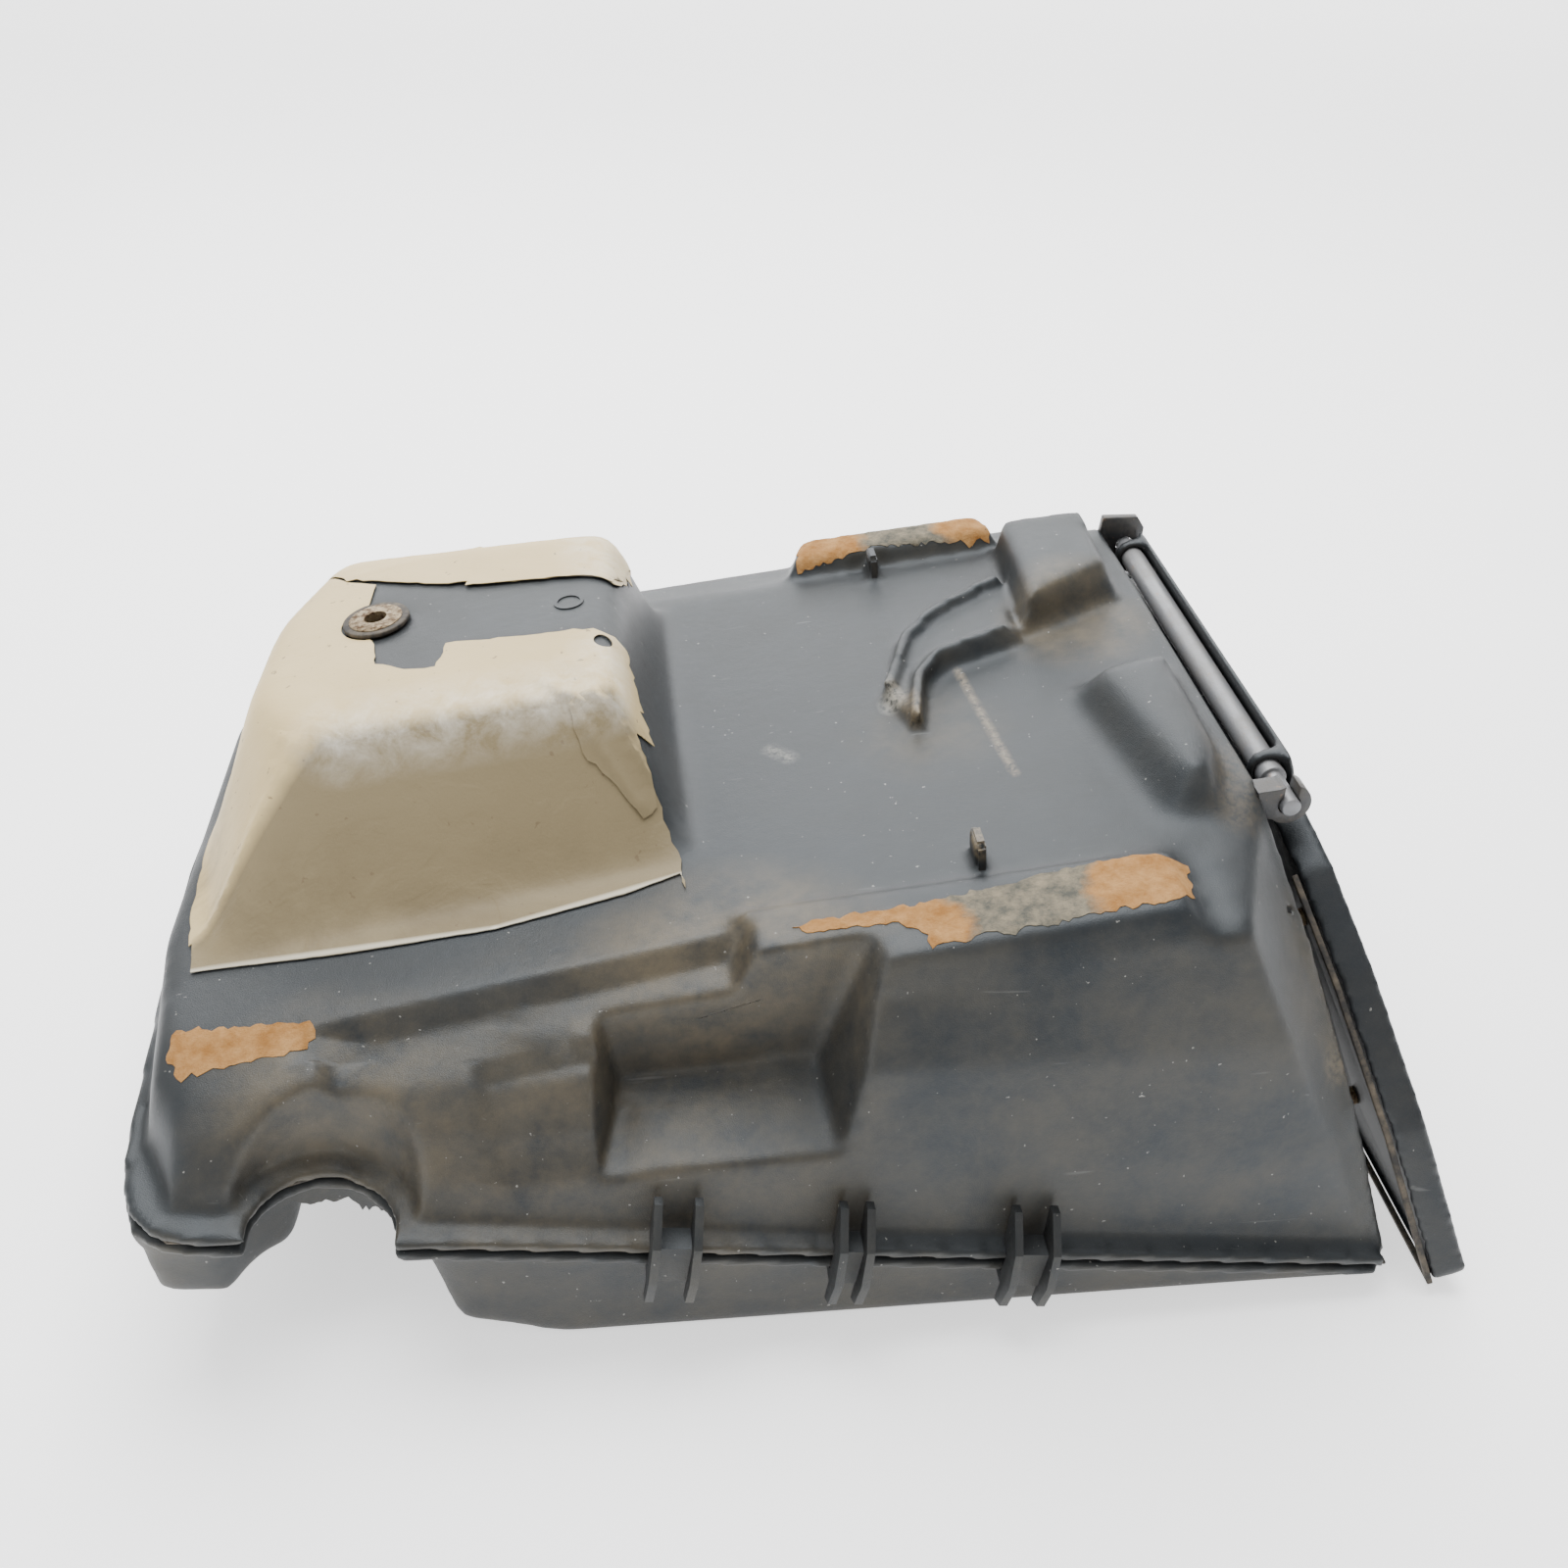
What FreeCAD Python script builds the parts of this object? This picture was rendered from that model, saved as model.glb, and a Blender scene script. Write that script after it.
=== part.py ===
import FreeCAD, Part
import math
import os

import Sketcher

# Storage box with a hinged lid: an upper and a lower moulded shell joined along a flange,
# a lid that hangs on a rod at the box mouth, and the trim fixed to the shells.
# Frame: +Z up, +X towards the lid, origin under the middle of the whole object.

os.makedirs("parts", exist_ok=True)
doc = FreeCAD.newDocument("StorageBox")
V = FreeCAD.Vector

# ---------------------------------------------------------------- driving dimensions (mm, degrees)
DIMS = {
    # the seam plane of the case, which falls towards the mouth
    "seam_tilt": 7.5, "seam_x": -5.5, "seam_height": 37.7,
    # case plan
    "rim_half": 164.0, "flange_half": 171.0, "flange_thick": 4.0, "seal_thick": 1.0,
    "left_x": -209.0, "corner_x": -200.0, "shoulder_x": -188.0, "mid_x": 12.7, "crease_x": 190.0,
    "mouth_x": 196.7, "wall": 3.0, "deck_z": 84.7, "deck_tilt": 16.0, "crease_lean": 31.5, "mouth_lean": 24.1,
    # mouth outline
    "mouth_low_z": 50.0, "mouth_low_half": 149.0, "mouth_mid_z": 92.0, "mouth_mid_half": 120.0,
    "mouth_top_near": 74.0, "mouth_top_far": 114.0,
    # raised block on the deck
    "block_rise": 47.0, "tape_thick": 0.7,
    # pocket in the near wall and the round notch at the near left
    "pocket_depth": 27.0, "notch_x": -145.0, "notch_radius": 28.0, "flange_notch": 21.0,
    # lower shell
    "lower_half": 167.0, "lobe_depth": 36.0, "shelf_depth": 12.0,
    # grommet and collar
    "grommet_u": -134.5, "grommet_y": 44.0, "grommet_hole": 14.0, "grommet_flange": 25.0,
    "collar_outer": 11.0, "collar_bore": 8.4, "collar_flange": 20.0,
    # lid, measured from the rod axis: outwards and up along the lid
    "hinge_x": 162.5, "hinge_height": 137.0, "closed_lean": 14.6, "ajar": 5.2,
    "rim_in": 4.0, "lid_out": 8.0, "skin": 2.5, "lid_bottom": 139.0, "lid_top": 7.0,
    "rod_radius": 4.75, "journal_radius": 3.3, "journal_play": 0.3, "hook_radius": 7.5,
    # latch
    "latch_drop": 112.0, "stem_radius": 4.0, "knob_radius": 14.0, "cam_length": 20.0,
}

dims = doc.addObject("Spreadsheet::Sheet", "Dims")
for row, (alias, size) in enumerate(DIMS.items(), start=1):
    dims.set(f"A{row}", alias)
    dims.set(f"B{row}", str(size))
    dims.setAlias(f"B{row}", alias)

case_place = FreeCAD.Placement(
    V(DIMS["seam_x"], 0, DIMS["seam_height"]),
    FreeCAD.Rotation(V(0, 1, 0), DIMS["seam_tilt"]),
)
lid_place = FreeCAD.Placement(
    V(DIMS["hinge_x"], 0, DIMS["hinge_height"]),
    FreeCAD.Rotation(V(0, 1, 0), -(DIMS["closed_lean"] + DIMS["ajar"])),
)


# ---------------------------------------------------------------- helpers
def number(term):
    """A term is a plain number, an alias such as "wall" or "-wall", or (term, factor)."""
    if isinstance(term, tuple):
        return number(term[0]) * term[1]
    if isinstance(term, str):
        return -DIMS[term[1:]] if term.startswith("-") else DIMS[term]
    return term


def expression(term):
    if isinstance(term, tuple):
        inner = expression(term[0])
        return f"{inner} * {term[1]}" if inner else None
    if isinstance(term, str):
        return f"-Dims.{term[1:]}" if term.startswith("-") else f"Dims.{term}"
    return None


def new_body(name):
    body = doc.addObject("PartDesign::Body", name)
    body.Label = name
    return body


def origin_plane(body, role):
    return [item for item in body.Origin.OriginFeatures if item.Role == role][0]


def new_sketch(body, name, role, offset=None):
    sketch = body.newObject("Sketcher::SketchObject", name)
    sketch.AttachmentSupport = [(origin_plane(body, role), "")]
    sketch.MapMode = "FlatFace"
    if offset is not None:
        sketch.AttachmentOffset = offset
    return sketch


def pin_point(sketch, line, term_x, term_y):
    """Hold the start point of a line at a place given by two terms."""
    for kind, term in (("DistanceX", term_x), ("DistanceY", term_y)):
        index = sketch.addConstraint(Sketcher.Constraint(kind, -1, 1, line, 1, number(term)))
        bound = expression(term)
        if bound:
            sketch.setExpression(f"Constraints[{index}]", bound)


def outline(sketch, points):
    """A closed polygon whose corners are held by distances from the sketch origin."""
    first = sketch.GeometryCount
    places = [V(number(x), number(y), 0) for x, y in points]
    count = len(places)
    for i in range(count):
        sketch.addGeometry(Part.LineSegment(places[i], places[(i + 1) % count]), False)
    for i in range(count):
        following = first + (i + 1) % count
        sketch.addConstraint(Sketcher.Constraint("Coincident", first + i, 2, following, 1))
    for i, (x, y) in enumerate(points):
        pin_point(sketch, first + i, x, y)


def ring(sketch, x, y, radius):
    """A circle with its centre and radius held."""
    index = sketch.addGeometry(Part.Circle(V(number(x), number(y), 0), V(0, 0, 1), number(radius)), False)
    for kind, term in (("DistanceX", x), ("DistanceY", y)):
        held = sketch.addConstraint(Sketcher.Constraint(kind, -1, 1, index, 3, number(term)))
        bound = expression(term)
        if bound:
            sketch.setExpression(f"Constraints[{held}]", bound)
    held = sketch.addConstraint(Sketcher.Constraint("Radius", index, number(radius)))
    bound = expression(radius)
    if bound:
        sketch.setExpression(f"Constraints[{held}]", bound)


def pad(body, name, sketch, length, reversed_side=False):
    feature = body.newObject("PartDesign::Pad", name)
    feature.Profile = sketch
    feature.Length = number(length)
    bound = expression(length)
    if bound:
        feature.setExpression("Length", bound)
    feature.Reversed = reversed_side
    return feature


def pocket(body, name, sketch, length, reversed_side=False):
    feature = body.newObject("PartDesign::Pocket", name)
    feature.Profile = sketch
    feature.Length = length
    feature.Reversed = reversed_side
    return feature


def loft(body, name, sections, subtract=False):
    kind = "PartDesign::SubtractiveLoft" if subtract else "PartDesign::AdditiveLoft"
    feature = body.newObject(kind, name)
    feature.Profile = sections[0]
    feature.Sections = sections[1:]
    feature.Ruled = True
    return feature


def section(body, name, x, lean, near, far):
    """A cross-section of the case: a closed outline across the box, leaning back by lean degrees."""
    stretch = 1.0 / math.cos(math.radians(lean))
    offset = FreeCAD.Placement(V(0, 0, x), FreeCAD.Rotation(V(1, 0, 0), -lean))
    sketch = new_sketch(body, name, "YZ_Plane", offset)
    points = [(y, (z, stretch)) for y, z in near] + [(y, (z, stretch)) for y, z in reversed(far)]
    outline(sketch, points)
    return sketch


def deck_sketch(body, name, rise, near_edge=None, drop=0.0):
    """A sketch parallel to the deck, rise above it; its x runs up the deck. With a near edge it
    starts at that y and falls by drop degrees towards the near side."""
    tilt = FreeCAD.Rotation(V(0, 1, 0), -DIMS["deck_tilt"])
    base = V(deck_foot_x, 0, deck_height(deck_foot_x)) + tilt.multVec(V(0, near_edge or 0.0, rise))
    fall = FreeCAD.Rotation(V(1, 0, 0), drop)
    return new_sketch(body, name, "XY_Plane", FreeCAD.Placement(base, tilt * fall))


def deck_height(x):
    return DIMS["deck_z"] + math.tan(math.radians(DIMS["deck_tilt"])) * x


def deck_meets(x, lean):
    """Height at which a section that starts at x and leans back meets the deck."""
    slope = math.tan(math.radians(DIMS["deck_tilt"]))
    return deck_height(x) / (1 + slope * math.tan(math.radians(lean)))


def mound(body, name, foot, top, rise, foot_rise=-6.0, subtract=False):
    """A raised form on the deck, lofted from its foot outline to its top outline."""
    low = deck_sketch(body, name + "Foot", foot_rise)
    outline(low, foot)
    high = deck_sketch(body, name + "Top", rise)
    outline(high, top)
    return loft(body, name, [low, high], subtract)


def shrink(points, distance):
    """The outline moved inwards by a distance; corners given anticlockwise or clockwise."""
    area = sum(a[0] * b[1] - b[0] * a[1] for a, b in zip(points, points[1:] + points[:1]))
    side = 1 if area > 0 else -1
    moved = []
    for i, corner in enumerate(points):
        before = V(*points[i - 1], 0)
        here = V(*corner, 0)
        after = V(*points[(i + 1) % len(points)], 0)
        first = (here - before).normalize()
        second = (after - here).normalize()
        bisector = V(-first.y - second.y, first.x + second.x, 0) * side
        bisector.normalize()
        cosine = bisector.dot(V(-first.y, first.x, 0) * side)
        here = here + bisector * (distance / cosine)
        moved.append((here.x, here.y))
    return moved


def place_all(objects, placement):
    for item in objects:
        item.Placement = placement


def cut(name, base, tool):
    feature = doc.addObject("Part::Cut", name)
    feature.Base = base
    feature.Tool = tool
    feature.Label = name
    return feature


deck_foot_x = -10.7

# ---------------------------------------------------------------- case forms
def case_sections(body, prefix, inset):
    """The outlines along the box, from the closed end to the mouth, moved inwards by inset."""
    crease_z = deck_meets(DIMS["crease_x"], DIMS["crease_lean"]) - inset
    mouth_z = deck_meets(DIMS["mouth_x"], DIMS["mouth_lean"]) - inset
    left_z = deck_height(DIMS["left_x"]) - inset
    corner_z = deck_height(DIMS["corner_x"]) - inset
    shoulder_z = deck_height(DIMS["shoulder_x"]) - inset
    mid_z = deck_height(DIMS["mid_x"]) - inset
    low = -6.0 if inset else 0.0
    half = DIMS["rim_half"] - inset
    across = inset * 1.1
    stations = [
        ("Left", DIMS["left_x"] + inset, 0.0,
         [(70 - across, low), (69 - across, 8), (67 - across, 15), (64 - across, left_z - 3),
          (60 - across, left_z)]),
        ("Corner", DIMS["corner_x"] + inset, 0.0,
         [(138 - across, low), (136 - across, 8), (131 - across, 17), (126 - across, corner_z - 4),
          (112 - across, corner_z)]),
        ("Shoulder", DIMS["shoulder_x"] + inset, 0.0,
         [(half, low), (158 - across, 11), (148 - across, 20), (138 - across, shoulder_z - 6),
          (116 - across, shoulder_z)]),
        ("Mid", DIMS["mid_x"], 0.0,
         [(half, low), (159 - across, 32), (153 - across, 62), (143 - across, mid_z - 9),
          (110 - across, mid_z)]),
        ("Crease", DIMS["crease_x"] - inset, DIMS["crease_lean"],
         [(half, low), (160 - across, 38), (152 - across, 78), (140 - across, crease_z - 5),
          (106 - across, crease_z)]),
    ]
    sketches = []
    for name, x, lean, side in stations:
        near = [(-y, z) for y, z in side]
        sketches.append(section(body, prefix + name, x, lean, near, side))
    mouth = [("mouth_low_z", DIMS["mouth_low_half"], 3.0), ("mouth_mid_z", DIMS["mouth_mid_half"], 14.0)]
    near, far = [(-half, low)], [(half, low)]
    for height, reach, far_extra in mouth:
        near.append((across - reach, DIMS[height]))
        far.append((reach + far_extra - across, DIMS[height]))
    near += [(across - DIMS["mouth_top_near"] - 8, mouth_z - 4), (across - DIMS["mouth_top_near"], mouth_z)]
    far += [(DIMS["mouth_top_far"] + 8 - across, mouth_z - 4), (DIMS["mouth_top_far"] - across, mouth_z)]
    sketches.append(section(body, prefix + "Mouth", DIMS["mouth_x"] + inset, DIMS["mouth_lean"], near, far))
    return sketches


FLANGE_OUTLINE = [
    (-216.0, 0.0), (-213.0, -50.0), (-207.0, -132.0), (-204.5, -150.0), (-200.0, -161.5), (-193.0, -168.5),
    (-184.0, -171.0), (194.5, -171.0), (194.5, 171.0), (-184.0, 171.0), (-193.0, 168.5), (-200.0, 161.5),
    (-204.5, 150.0), (-207.0, 132.0), (-213.0, 50.0),
]
BLOCK_FOOT = [(-190, -90), (-28, -74), (-32, 104), (-172, 116), (-198, 62), (-203, -24)]
BLOCK_TOP = [(-156, -25), (-46, -27), (-46, 94), (-156, 106), (-173, 60), (-175, 6)]
NEAR_RIDGE_FOOT = [(-20, -142), (124, -141), (128, -103), (-26, -99)]
NEAR_RIDGE_TOP = [(-10, -138), (117, -135), (119, -107), (-14, -104)]
REAR_RIDGE_FOOT = [(20, 112), (116, 112), (112, 136), (26, 138)]
REAR_RIDGE_TOP = [(26, 116), (112, 116), (108, 132), (32, 134)]
HUMP_FOOT = [(104, 34), (150, 52), (150, 112), (110, 112)]
HUMP_TOP = [(112, 42), (145, 58), (147, 104), (114, 106)]
SIDE_HUMP_FOOT = [(108, -4), (120, -94), (142, -96), (151, -68), (152, 4)]
SIDE_HUMP_TOP = [(124, -14), (135, -80), (141, -81), (147, -62), (148, -10)]
CHANNEL_FOOT = [(104, 30), (73, 19), (60, 6), (53, -20), (46, 6), (58, 47), (74, 64), (106, 82)]
CHANNEL_TOP = [(104, 33), (73, 23), (61, 10), (56, -12), (49, 8), (60, 44), (75, 61), (106, 79)]
RIB_LINES = [
    [(106, 76), (76, 58), (62, 42), (50, 8)],
    [(100, 36), (72, 26), (62, 12), (56, -16)],
]
RIB_THICK, RIB_RISE = 4.0, 8.5
TAB_PLACES = [(62, -94), (58, 106)]
POCKET_MOUTH = [(-68, 18), (10, 30), (24, 128), (-92, 98)]
POCKET_BACK = [(-60, 30), (2, 40), (16, 122), (-80, 93)]

outer_form = new_body("outer_form")
loft(outer_form, "OuterSkin", case_sections(outer_form, "Outer", 0.0))
flange = new_sketch(outer_form, "FlangePlan", "XY_Plane")
outline(flange, FLANGE_OUTLINE)
pad(outer_form, "Flange", flange, "flange_thick")
mound(outer_form, "Block", BLOCK_FOOT, BLOCK_TOP, DIMS["block_rise"])
mound(outer_form, "NearRidge", NEAR_RIDGE_FOOT, NEAR_RIDGE_TOP, 5.0)
mound(outer_form, "RearRidge", REAR_RIDGE_FOOT, REAR_RIDGE_TOP, 8.0)
mound(outer_form, "Hump", HUMP_FOOT, HUMP_TOP, 17.0)
mound(outer_form, "SideHump", SIDE_HUMP_FOOT, SIDE_HUMP_TOP, 15.0)
mound(outer_form, "Channel", CHANNEL_FOOT, CHANNEL_TOP, 4.5)


def rib_outline(line, thickness):
    """A strip of constant thickness along a line of points."""
    left, right = [], []
    for i, point in enumerate(line):
        here = V(*point, 0)
        ahead = V(*line[min(i + 1, len(line) - 1)], 0)
        behind = V(*line[max(i - 1, 0)], 0)
        across = (ahead - behind).normalize().cross(V(0, 0, 1)) * (thickness / 2)
        left.append(((here + across).x, (here + across).y))
        right.append(((here - across).x, (here - across).y))
    return left + right[::-1]


for i, line in enumerate(RIB_LINES):
    rib = deck_sketch(outer_form, f"Rib{i}Plan", -1.0)
    outline(rib, rib_outline(line, RIB_THICK))
    pad(outer_form, f"Rib{i}", rib, RIB_RISE + 1.0)
for i, (u, y) in enumerate(TAB_PLACES):
    tab = deck_sketch(outer_form, f"Tab{i}Plan", -1.0)
    outline(tab, [(u - 1.5, y - 6), (u + 1.5, y - 6), (u + 1.5, y + 6), (u - 1.5, y + 6)])
    pad(outer_form, f"Tab{i}", tab, 12.0)


def side_sketch(body, name, y, points):
    """An outline seen from the near side, at a distance y in front of the middle."""
    sketch = new_sketch(body, name, "XZ_Plane", FreeCAD.Placement(V(0, 0, y), FreeCAD.Rotation()))
    outline(sketch, points)
    return sketch


POCKET_Y = 172.0
NOTCH_Y = -166.0
pocket_back_y = DIMS["rim_half"] - 12.0 - DIMS["pocket_depth"]
front = side_sketch(outer_form, "PocketFront", POCKET_Y, POCKET_MOUTH)
back = side_sketch(outer_form, "PocketRear", pocket_back_y, POCKET_BACK)
loft(outer_form, "WallPocket", [front, back], subtract=True)
above_flange = FreeCAD.Placement(V(0, 0, DIMS["flange_thick"]), FreeCAD.Rotation())
notch = new_sketch(outer_form, "NotchPlan", "XY_Plane", above_flange)
ring(notch, "notch_x", NOTCH_Y, "notch_radius")
pocket(outer_form, "Notch", notch, 60.0, True)
notch = new_sketch(outer_form, "FlangeNotchPlan", "XY_Plane")
ring(notch, "notch_x", NOTCH_Y, "flange_notch")
pocket(outer_form, "FlangeNotch", notch, 10.0, True)
seat = deck_sketch(outer_form, "GrommetSeatPlan", DIMS["block_rise"])
ring(seat, "grommet_u", "grommet_y", ("grommet_hole", 0.5))
pocket(outer_form, "GrommetSeat", seat, 10.0)

inner_form = new_body("inner_form")
loft(inner_form, "InnerSkin", case_sections(inner_form, "Inner", DIMS["wall"]))
mound(inner_form, "BlockInside", shrink(BLOCK_FOOT, 4.0), shrink(BLOCK_TOP, 4.0),
      DIMS["block_rise"] - DIMS["wall"])
mound(inner_form, "HumpInside", shrink(HUMP_FOOT, 4.0), shrink(HUMP_TOP, 4.0), 14.0)
front = side_sketch(inner_form, "PocketFrontBack", POCKET_Y, shrink(POCKET_MOUTH, -4.0))
back = side_sketch(inner_form, "PocketRearBack", pocket_back_y - DIMS["wall"], shrink(POCKET_BACK, -3.0))
loft(inner_form, "PocketBacking", [front, back], subtract=True)
notch = new_sketch(inner_form, "NotchBackPlan", "XY_Plane")
ring(notch, "notch_x", NOTCH_Y, DIMS["notch_radius"] + DIMS["wall"])
pocket(inner_form, "NotchBack", notch, 60.0, True)

place_all([outer_form, inner_form], case_place)
upper_shell = cut("upper_shell", outer_form, inner_form)


# ---------------------------------------------------------------- lower shell
def floor_height(x):
    """Height, in the case frame, of the surface that the box stands on."""
    tilt = math.radians(DIMS["seam_tilt"])
    return (math.sin(tilt) * x - DIMS["seam_height"]) / math.cos(tilt)


def tub_section(body, name, x, half, top, bottom_half, bottom):
    sketch = new_sketch(body, name, "YZ_Plane", FreeCAD.Placement(V(0, 0, x), FreeCAD.Rotation()))
    outline(sketch, [(-half, top), (-bottom_half, bottom), (bottom_half, bottom), (half, top)])
    return sketch


def flat_sketch(body, name, height, points):
    sketch = new_sketch(body, name, "XY_Plane", FreeCAD.Placement(V(0, 0, height), FreeCAD.Rotation()))
    outline(sketch, points)
    return sketch


def rectangle(x_low, x_high, half):
    return [(x_low, -half), (x_high, -half), (x_high, half), (x_low, half)]


LOBE_HALF = 164.0


def tub(body, prefix, inset, top):
    """The deep wedge, the shelf behind it and the lobe at the closed end, moved inwards by inset."""
    half = DIMS["lower_half"] - inset
    stations = [
        ("Rise", -118.0 + inset, half - 9.0, -9.0 + inset),
        ("Heel", -104.0 + inset, half - 3.0, floor_height(-104.0) + 8.0 + inset),
        ("Sole", -72.0 + 0.3 * inset, half - 1.0, floor_height(-72.0) + inset),
        ("Front", DIMS["mouth_x"] + inset, half - 1.0, floor_height(DIMS["mouth_x"] + inset) + inset),
    ]
    sketches = [
        tub_section(body, prefix + name, x, half, top, bottom_half, bottom)
        for name, x, bottom_half, bottom in stations
    ]
    loft(body, prefix + "Wedge", sketches)
    shelf = flat_sketch(body, prefix + "ShelfPlan", top, rectangle(-198.0 + inset, -108.0, LOBE_HALF - inset))
    pad(body, prefix + "Shelf", shelf, DIMS["shelf_depth"] + top - inset, True)
    high_outline = rectangle(-200.0 + inset, -152.0 - inset, LOBE_HALF - inset)
    high = flat_sketch(body, prefix + "LobeHigh", top, high_outline)
    low_outline = rectangle(-195.0 + inset, -158.0 - inset, LOBE_HALF - 3.0 - inset)
    low = flat_sketch(body, prefix + "LobeLow", inset - DIMS["lobe_depth"], low_outline)
    loft(body, prefix + "Lobe", [high, low])


lower_form = new_body("lower_form")
tub(lower_form, "Tub", 0.0, -DIMS["seal_thick"])
flange = flat_sketch(lower_form, "LowerFlangePlan", -DIMS["seal_thick"], FLANGE_OUTLINE)
pad(lower_form, "LowerFlange", flange, "flange_thick", True)
below_flange = -DIMS["seal_thick"] - DIMS["flange_thick"]
notch = new_sketch(lower_form, "LowerNotchPlan", "XY_Plane",
                   FreeCAD.Placement(V(0, 0, below_flange), FreeCAD.Rotation()))
ring(notch, "notch_x", NOTCH_Y, "notch_radius")
pocket(lower_form, "LowerNotch", notch, 60.0)
notch = new_sketch(lower_form, "LowerFlangeNotchPlan", "XY_Plane")
ring(notch, "notch_x", NOTCH_Y, "flange_notch")
pocket(lower_form, "LowerFlangeNotch", notch, 10.0)

lower_inside = new_body("lower_inside")
tub(lower_inside, "Inside", DIMS["wall"], 2.0)
notch = new_sketch(lower_inside, "InsideNotchPlan", "XY_Plane",
                   FreeCAD.Placement(V(0, 0, 3.0), FreeCAD.Rotation()))
ring(notch, "notch_x", NOTCH_Y, DIMS["notch_radius"] + DIMS["wall"])
pocket(lower_inside, "InsideNotch", notch, 60.0)
place_all([lower_form, lower_inside], case_place)
lower_shell = cut("lower_shell", lower_form, lower_inside)

# ---------------------------------------------------------------- seam seal
NOTCH_WRAP = [(-124, 0), (-129, 11), (-145, 18), (-161, 11), (-166, 0)]


def seam_line(edge, wrap_radius):
    """The near side of the seal from the mouth to the closed end, led around the notch."""
    grow = wrap_radius / 18.0
    around = [(-145 + (x + 145) * grow, NOTCH_Y + rise * grow) for x, rise in NOTCH_WRAP]
    around[0] = (around[0][0], -edge)
    around[-1] = (around[-1][0], -edge)
    return [(DIMS["mouth_x"], -edge)] + around


def seam_loop(edge, wrap_radius, corner):
    """The near side, then the rounded closed end, then the far side back to the mouth."""
    end = corner + [(x, -y) for x, y in corner[-2::-1]]
    return seam_line(edge, wrap_radius) + end + [(DIMS["mouth_x"], edge)]


seam_seal = new_body("seam_seal")
outside = seam_loop(169.0, 24.5, [(-188, -169), (-199, -159), (-204, -131.5), (-211, -50), (-214, 0)])
inside = seam_loop(166.0, 27.0, [(-187, -166), (-196, -158), (-201, -131), (-208, -50), (-211, 0)])
seal = flat_sketch(seam_seal, "SealPlan", -DIMS["seal_thick"], outside + inside[::-1])
pad(seam_seal, "Seal", seal, "seal_thick")
seam_seal.Placement = case_place

# ---------------------------------------------------------------- seam clips
CLIP_PROFILE = [
    (-174, -8), (-174, 7), (-166, 7), (-166, 4), (-171, 4), (-171, -5), (-167.5, -5), (-167.5, -8),
]
FIN_PROFILE = [
    (-173, 6.5), (-166, 6.5), (-163.5, 18), (-167, 18.5), (-177, 10), (-180, -2), (-178, -13), (-173, -16),
]
CLIP_PLACES = [-41.0, 14.0, 71.5]
CLIP_WIDTHS = [15.0, 11.0, 15.0]
FIN_THICK = 2.6

seam_clips = []
for side, turn in (("near", 0), ("far", 180)):
    for i, (x, width) in enumerate(zip(CLIP_PLACES, CLIP_WIDTHS), start=1):
        clip = new_body(f"seam_clip_{side}_{i}")
        web = new_sketch(clip, f"Web_{side}_{i}", "YZ_Plane",
                         FreeCAD.Placement(V(0, 0, -width / 2), FreeCAD.Rotation()))
        outline(web, CLIP_PROFILE)
        pad(clip, f"WebPad_{side}_{i}", web, width)
        for edge, start in (("A", -width / 2), ("B", width / 2 - FIN_THICK)):
            fin = new_sketch(clip, f"Fin{edge}_{side}_{i}", "YZ_Plane",
                             FreeCAD.Placement(V(0, 0, start), FreeCAD.Rotation()))
            outline(fin, FIN_PROFILE)
            pad(clip, f"Fin{edge}Pad_{side}_{i}", fin, FIN_THICK)
        clip.Placement = case_place * FreeCAD.Placement(V(x, 0, 0), FreeCAD.Rotation(V(0, 0, 1), turn))
        seam_clips.append(clip)

# ---------------------------------------------------------------- heat-reflecting tape on the block
BLOCK_SPREAD = 1.0
tape_form = new_body("tape_form")
mound(tape_form, "TapeBlock", shrink(BLOCK_FOOT, -BLOCK_SPREAD), shrink(BLOCK_TOP, -BLOCK_SPREAD),
      DIMS["block_rise"] + DIMS["tape_thick"])
tape_form.Placement = case_place
tape_skin = cut("tape_skin", tape_form, outer_form)
TAPE_REGIONS = {
    "heat_tape_rear": [(-214, 66), (-20, 70), (-20, 130), (-214, 130)],
    "heat_tape_left": [(-214, -34), (-127, -46), (-127, 64), (-214, 64)],
    "heat_tape_front": [(-214, -100), (-20, -100), (-20, 16), (-125, 12), (-125, -47.5), (-214, -35.5)],
}
heat_tapes = []
for name, region in TAPE_REGIONS.items():
    cutter = new_body(name + "_region")
    plan = deck_sketch(cutter, name + "_plan", 1.0)
    outline(plan, region)
    pad(cutter, name + "_pad", plan, 60.0)
    if name == "heat_tape_left":
        opening = deck_sketch(cutter, name + "_opening", 61.0)
        ring(opening, "grommet_u", "grommet_y", ("grommet_flange", 0.53))
        pocket(cutter, name + "_hole", opening, 60.0)
    cutter.Placement = case_place
    piece = doc.addObject("Part::Common", name)
    piece.Base = tape_skin
    piece.Tool = cutter
    piece.Label = name
    heat_tapes.append(piece)

# ---------------------------------------------------------------- foam pads
SHOULDER_EDGE, SHOULDER_DROP = -117.0, 15.3
FOAM_PADS = {
    "foam_pad_near": (5.0, [(16, -136), (115, -133), (116, -109), (12, -106)]),
    "foam_pad_rear": (8.0, [(30, 118), (110, 118), (106, 131), (35, 132)]),
    "foam_pad_corner": (0.2, [(-186, -19), (-154, -20), (-154, -3), (-186, -2)]),
}
FOAM_THICK = 1.0
foam_pads = []
for name, (rise, plan) in FOAM_PADS.items():
    foam = new_body(name)
    if name == "foam_pad_corner":
        sketch = deck_sketch(foam, name + "_plan", rise, SHOULDER_EDGE, SHOULDER_DROP)
    else:
        sketch = deck_sketch(foam, name + "_plan", rise)
    outline(sketch, plan)
    pad(foam, name + "_pad", sketch, FOAM_THICK)
    foam.Placement = case_place
    foam_pads.append(foam)


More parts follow.
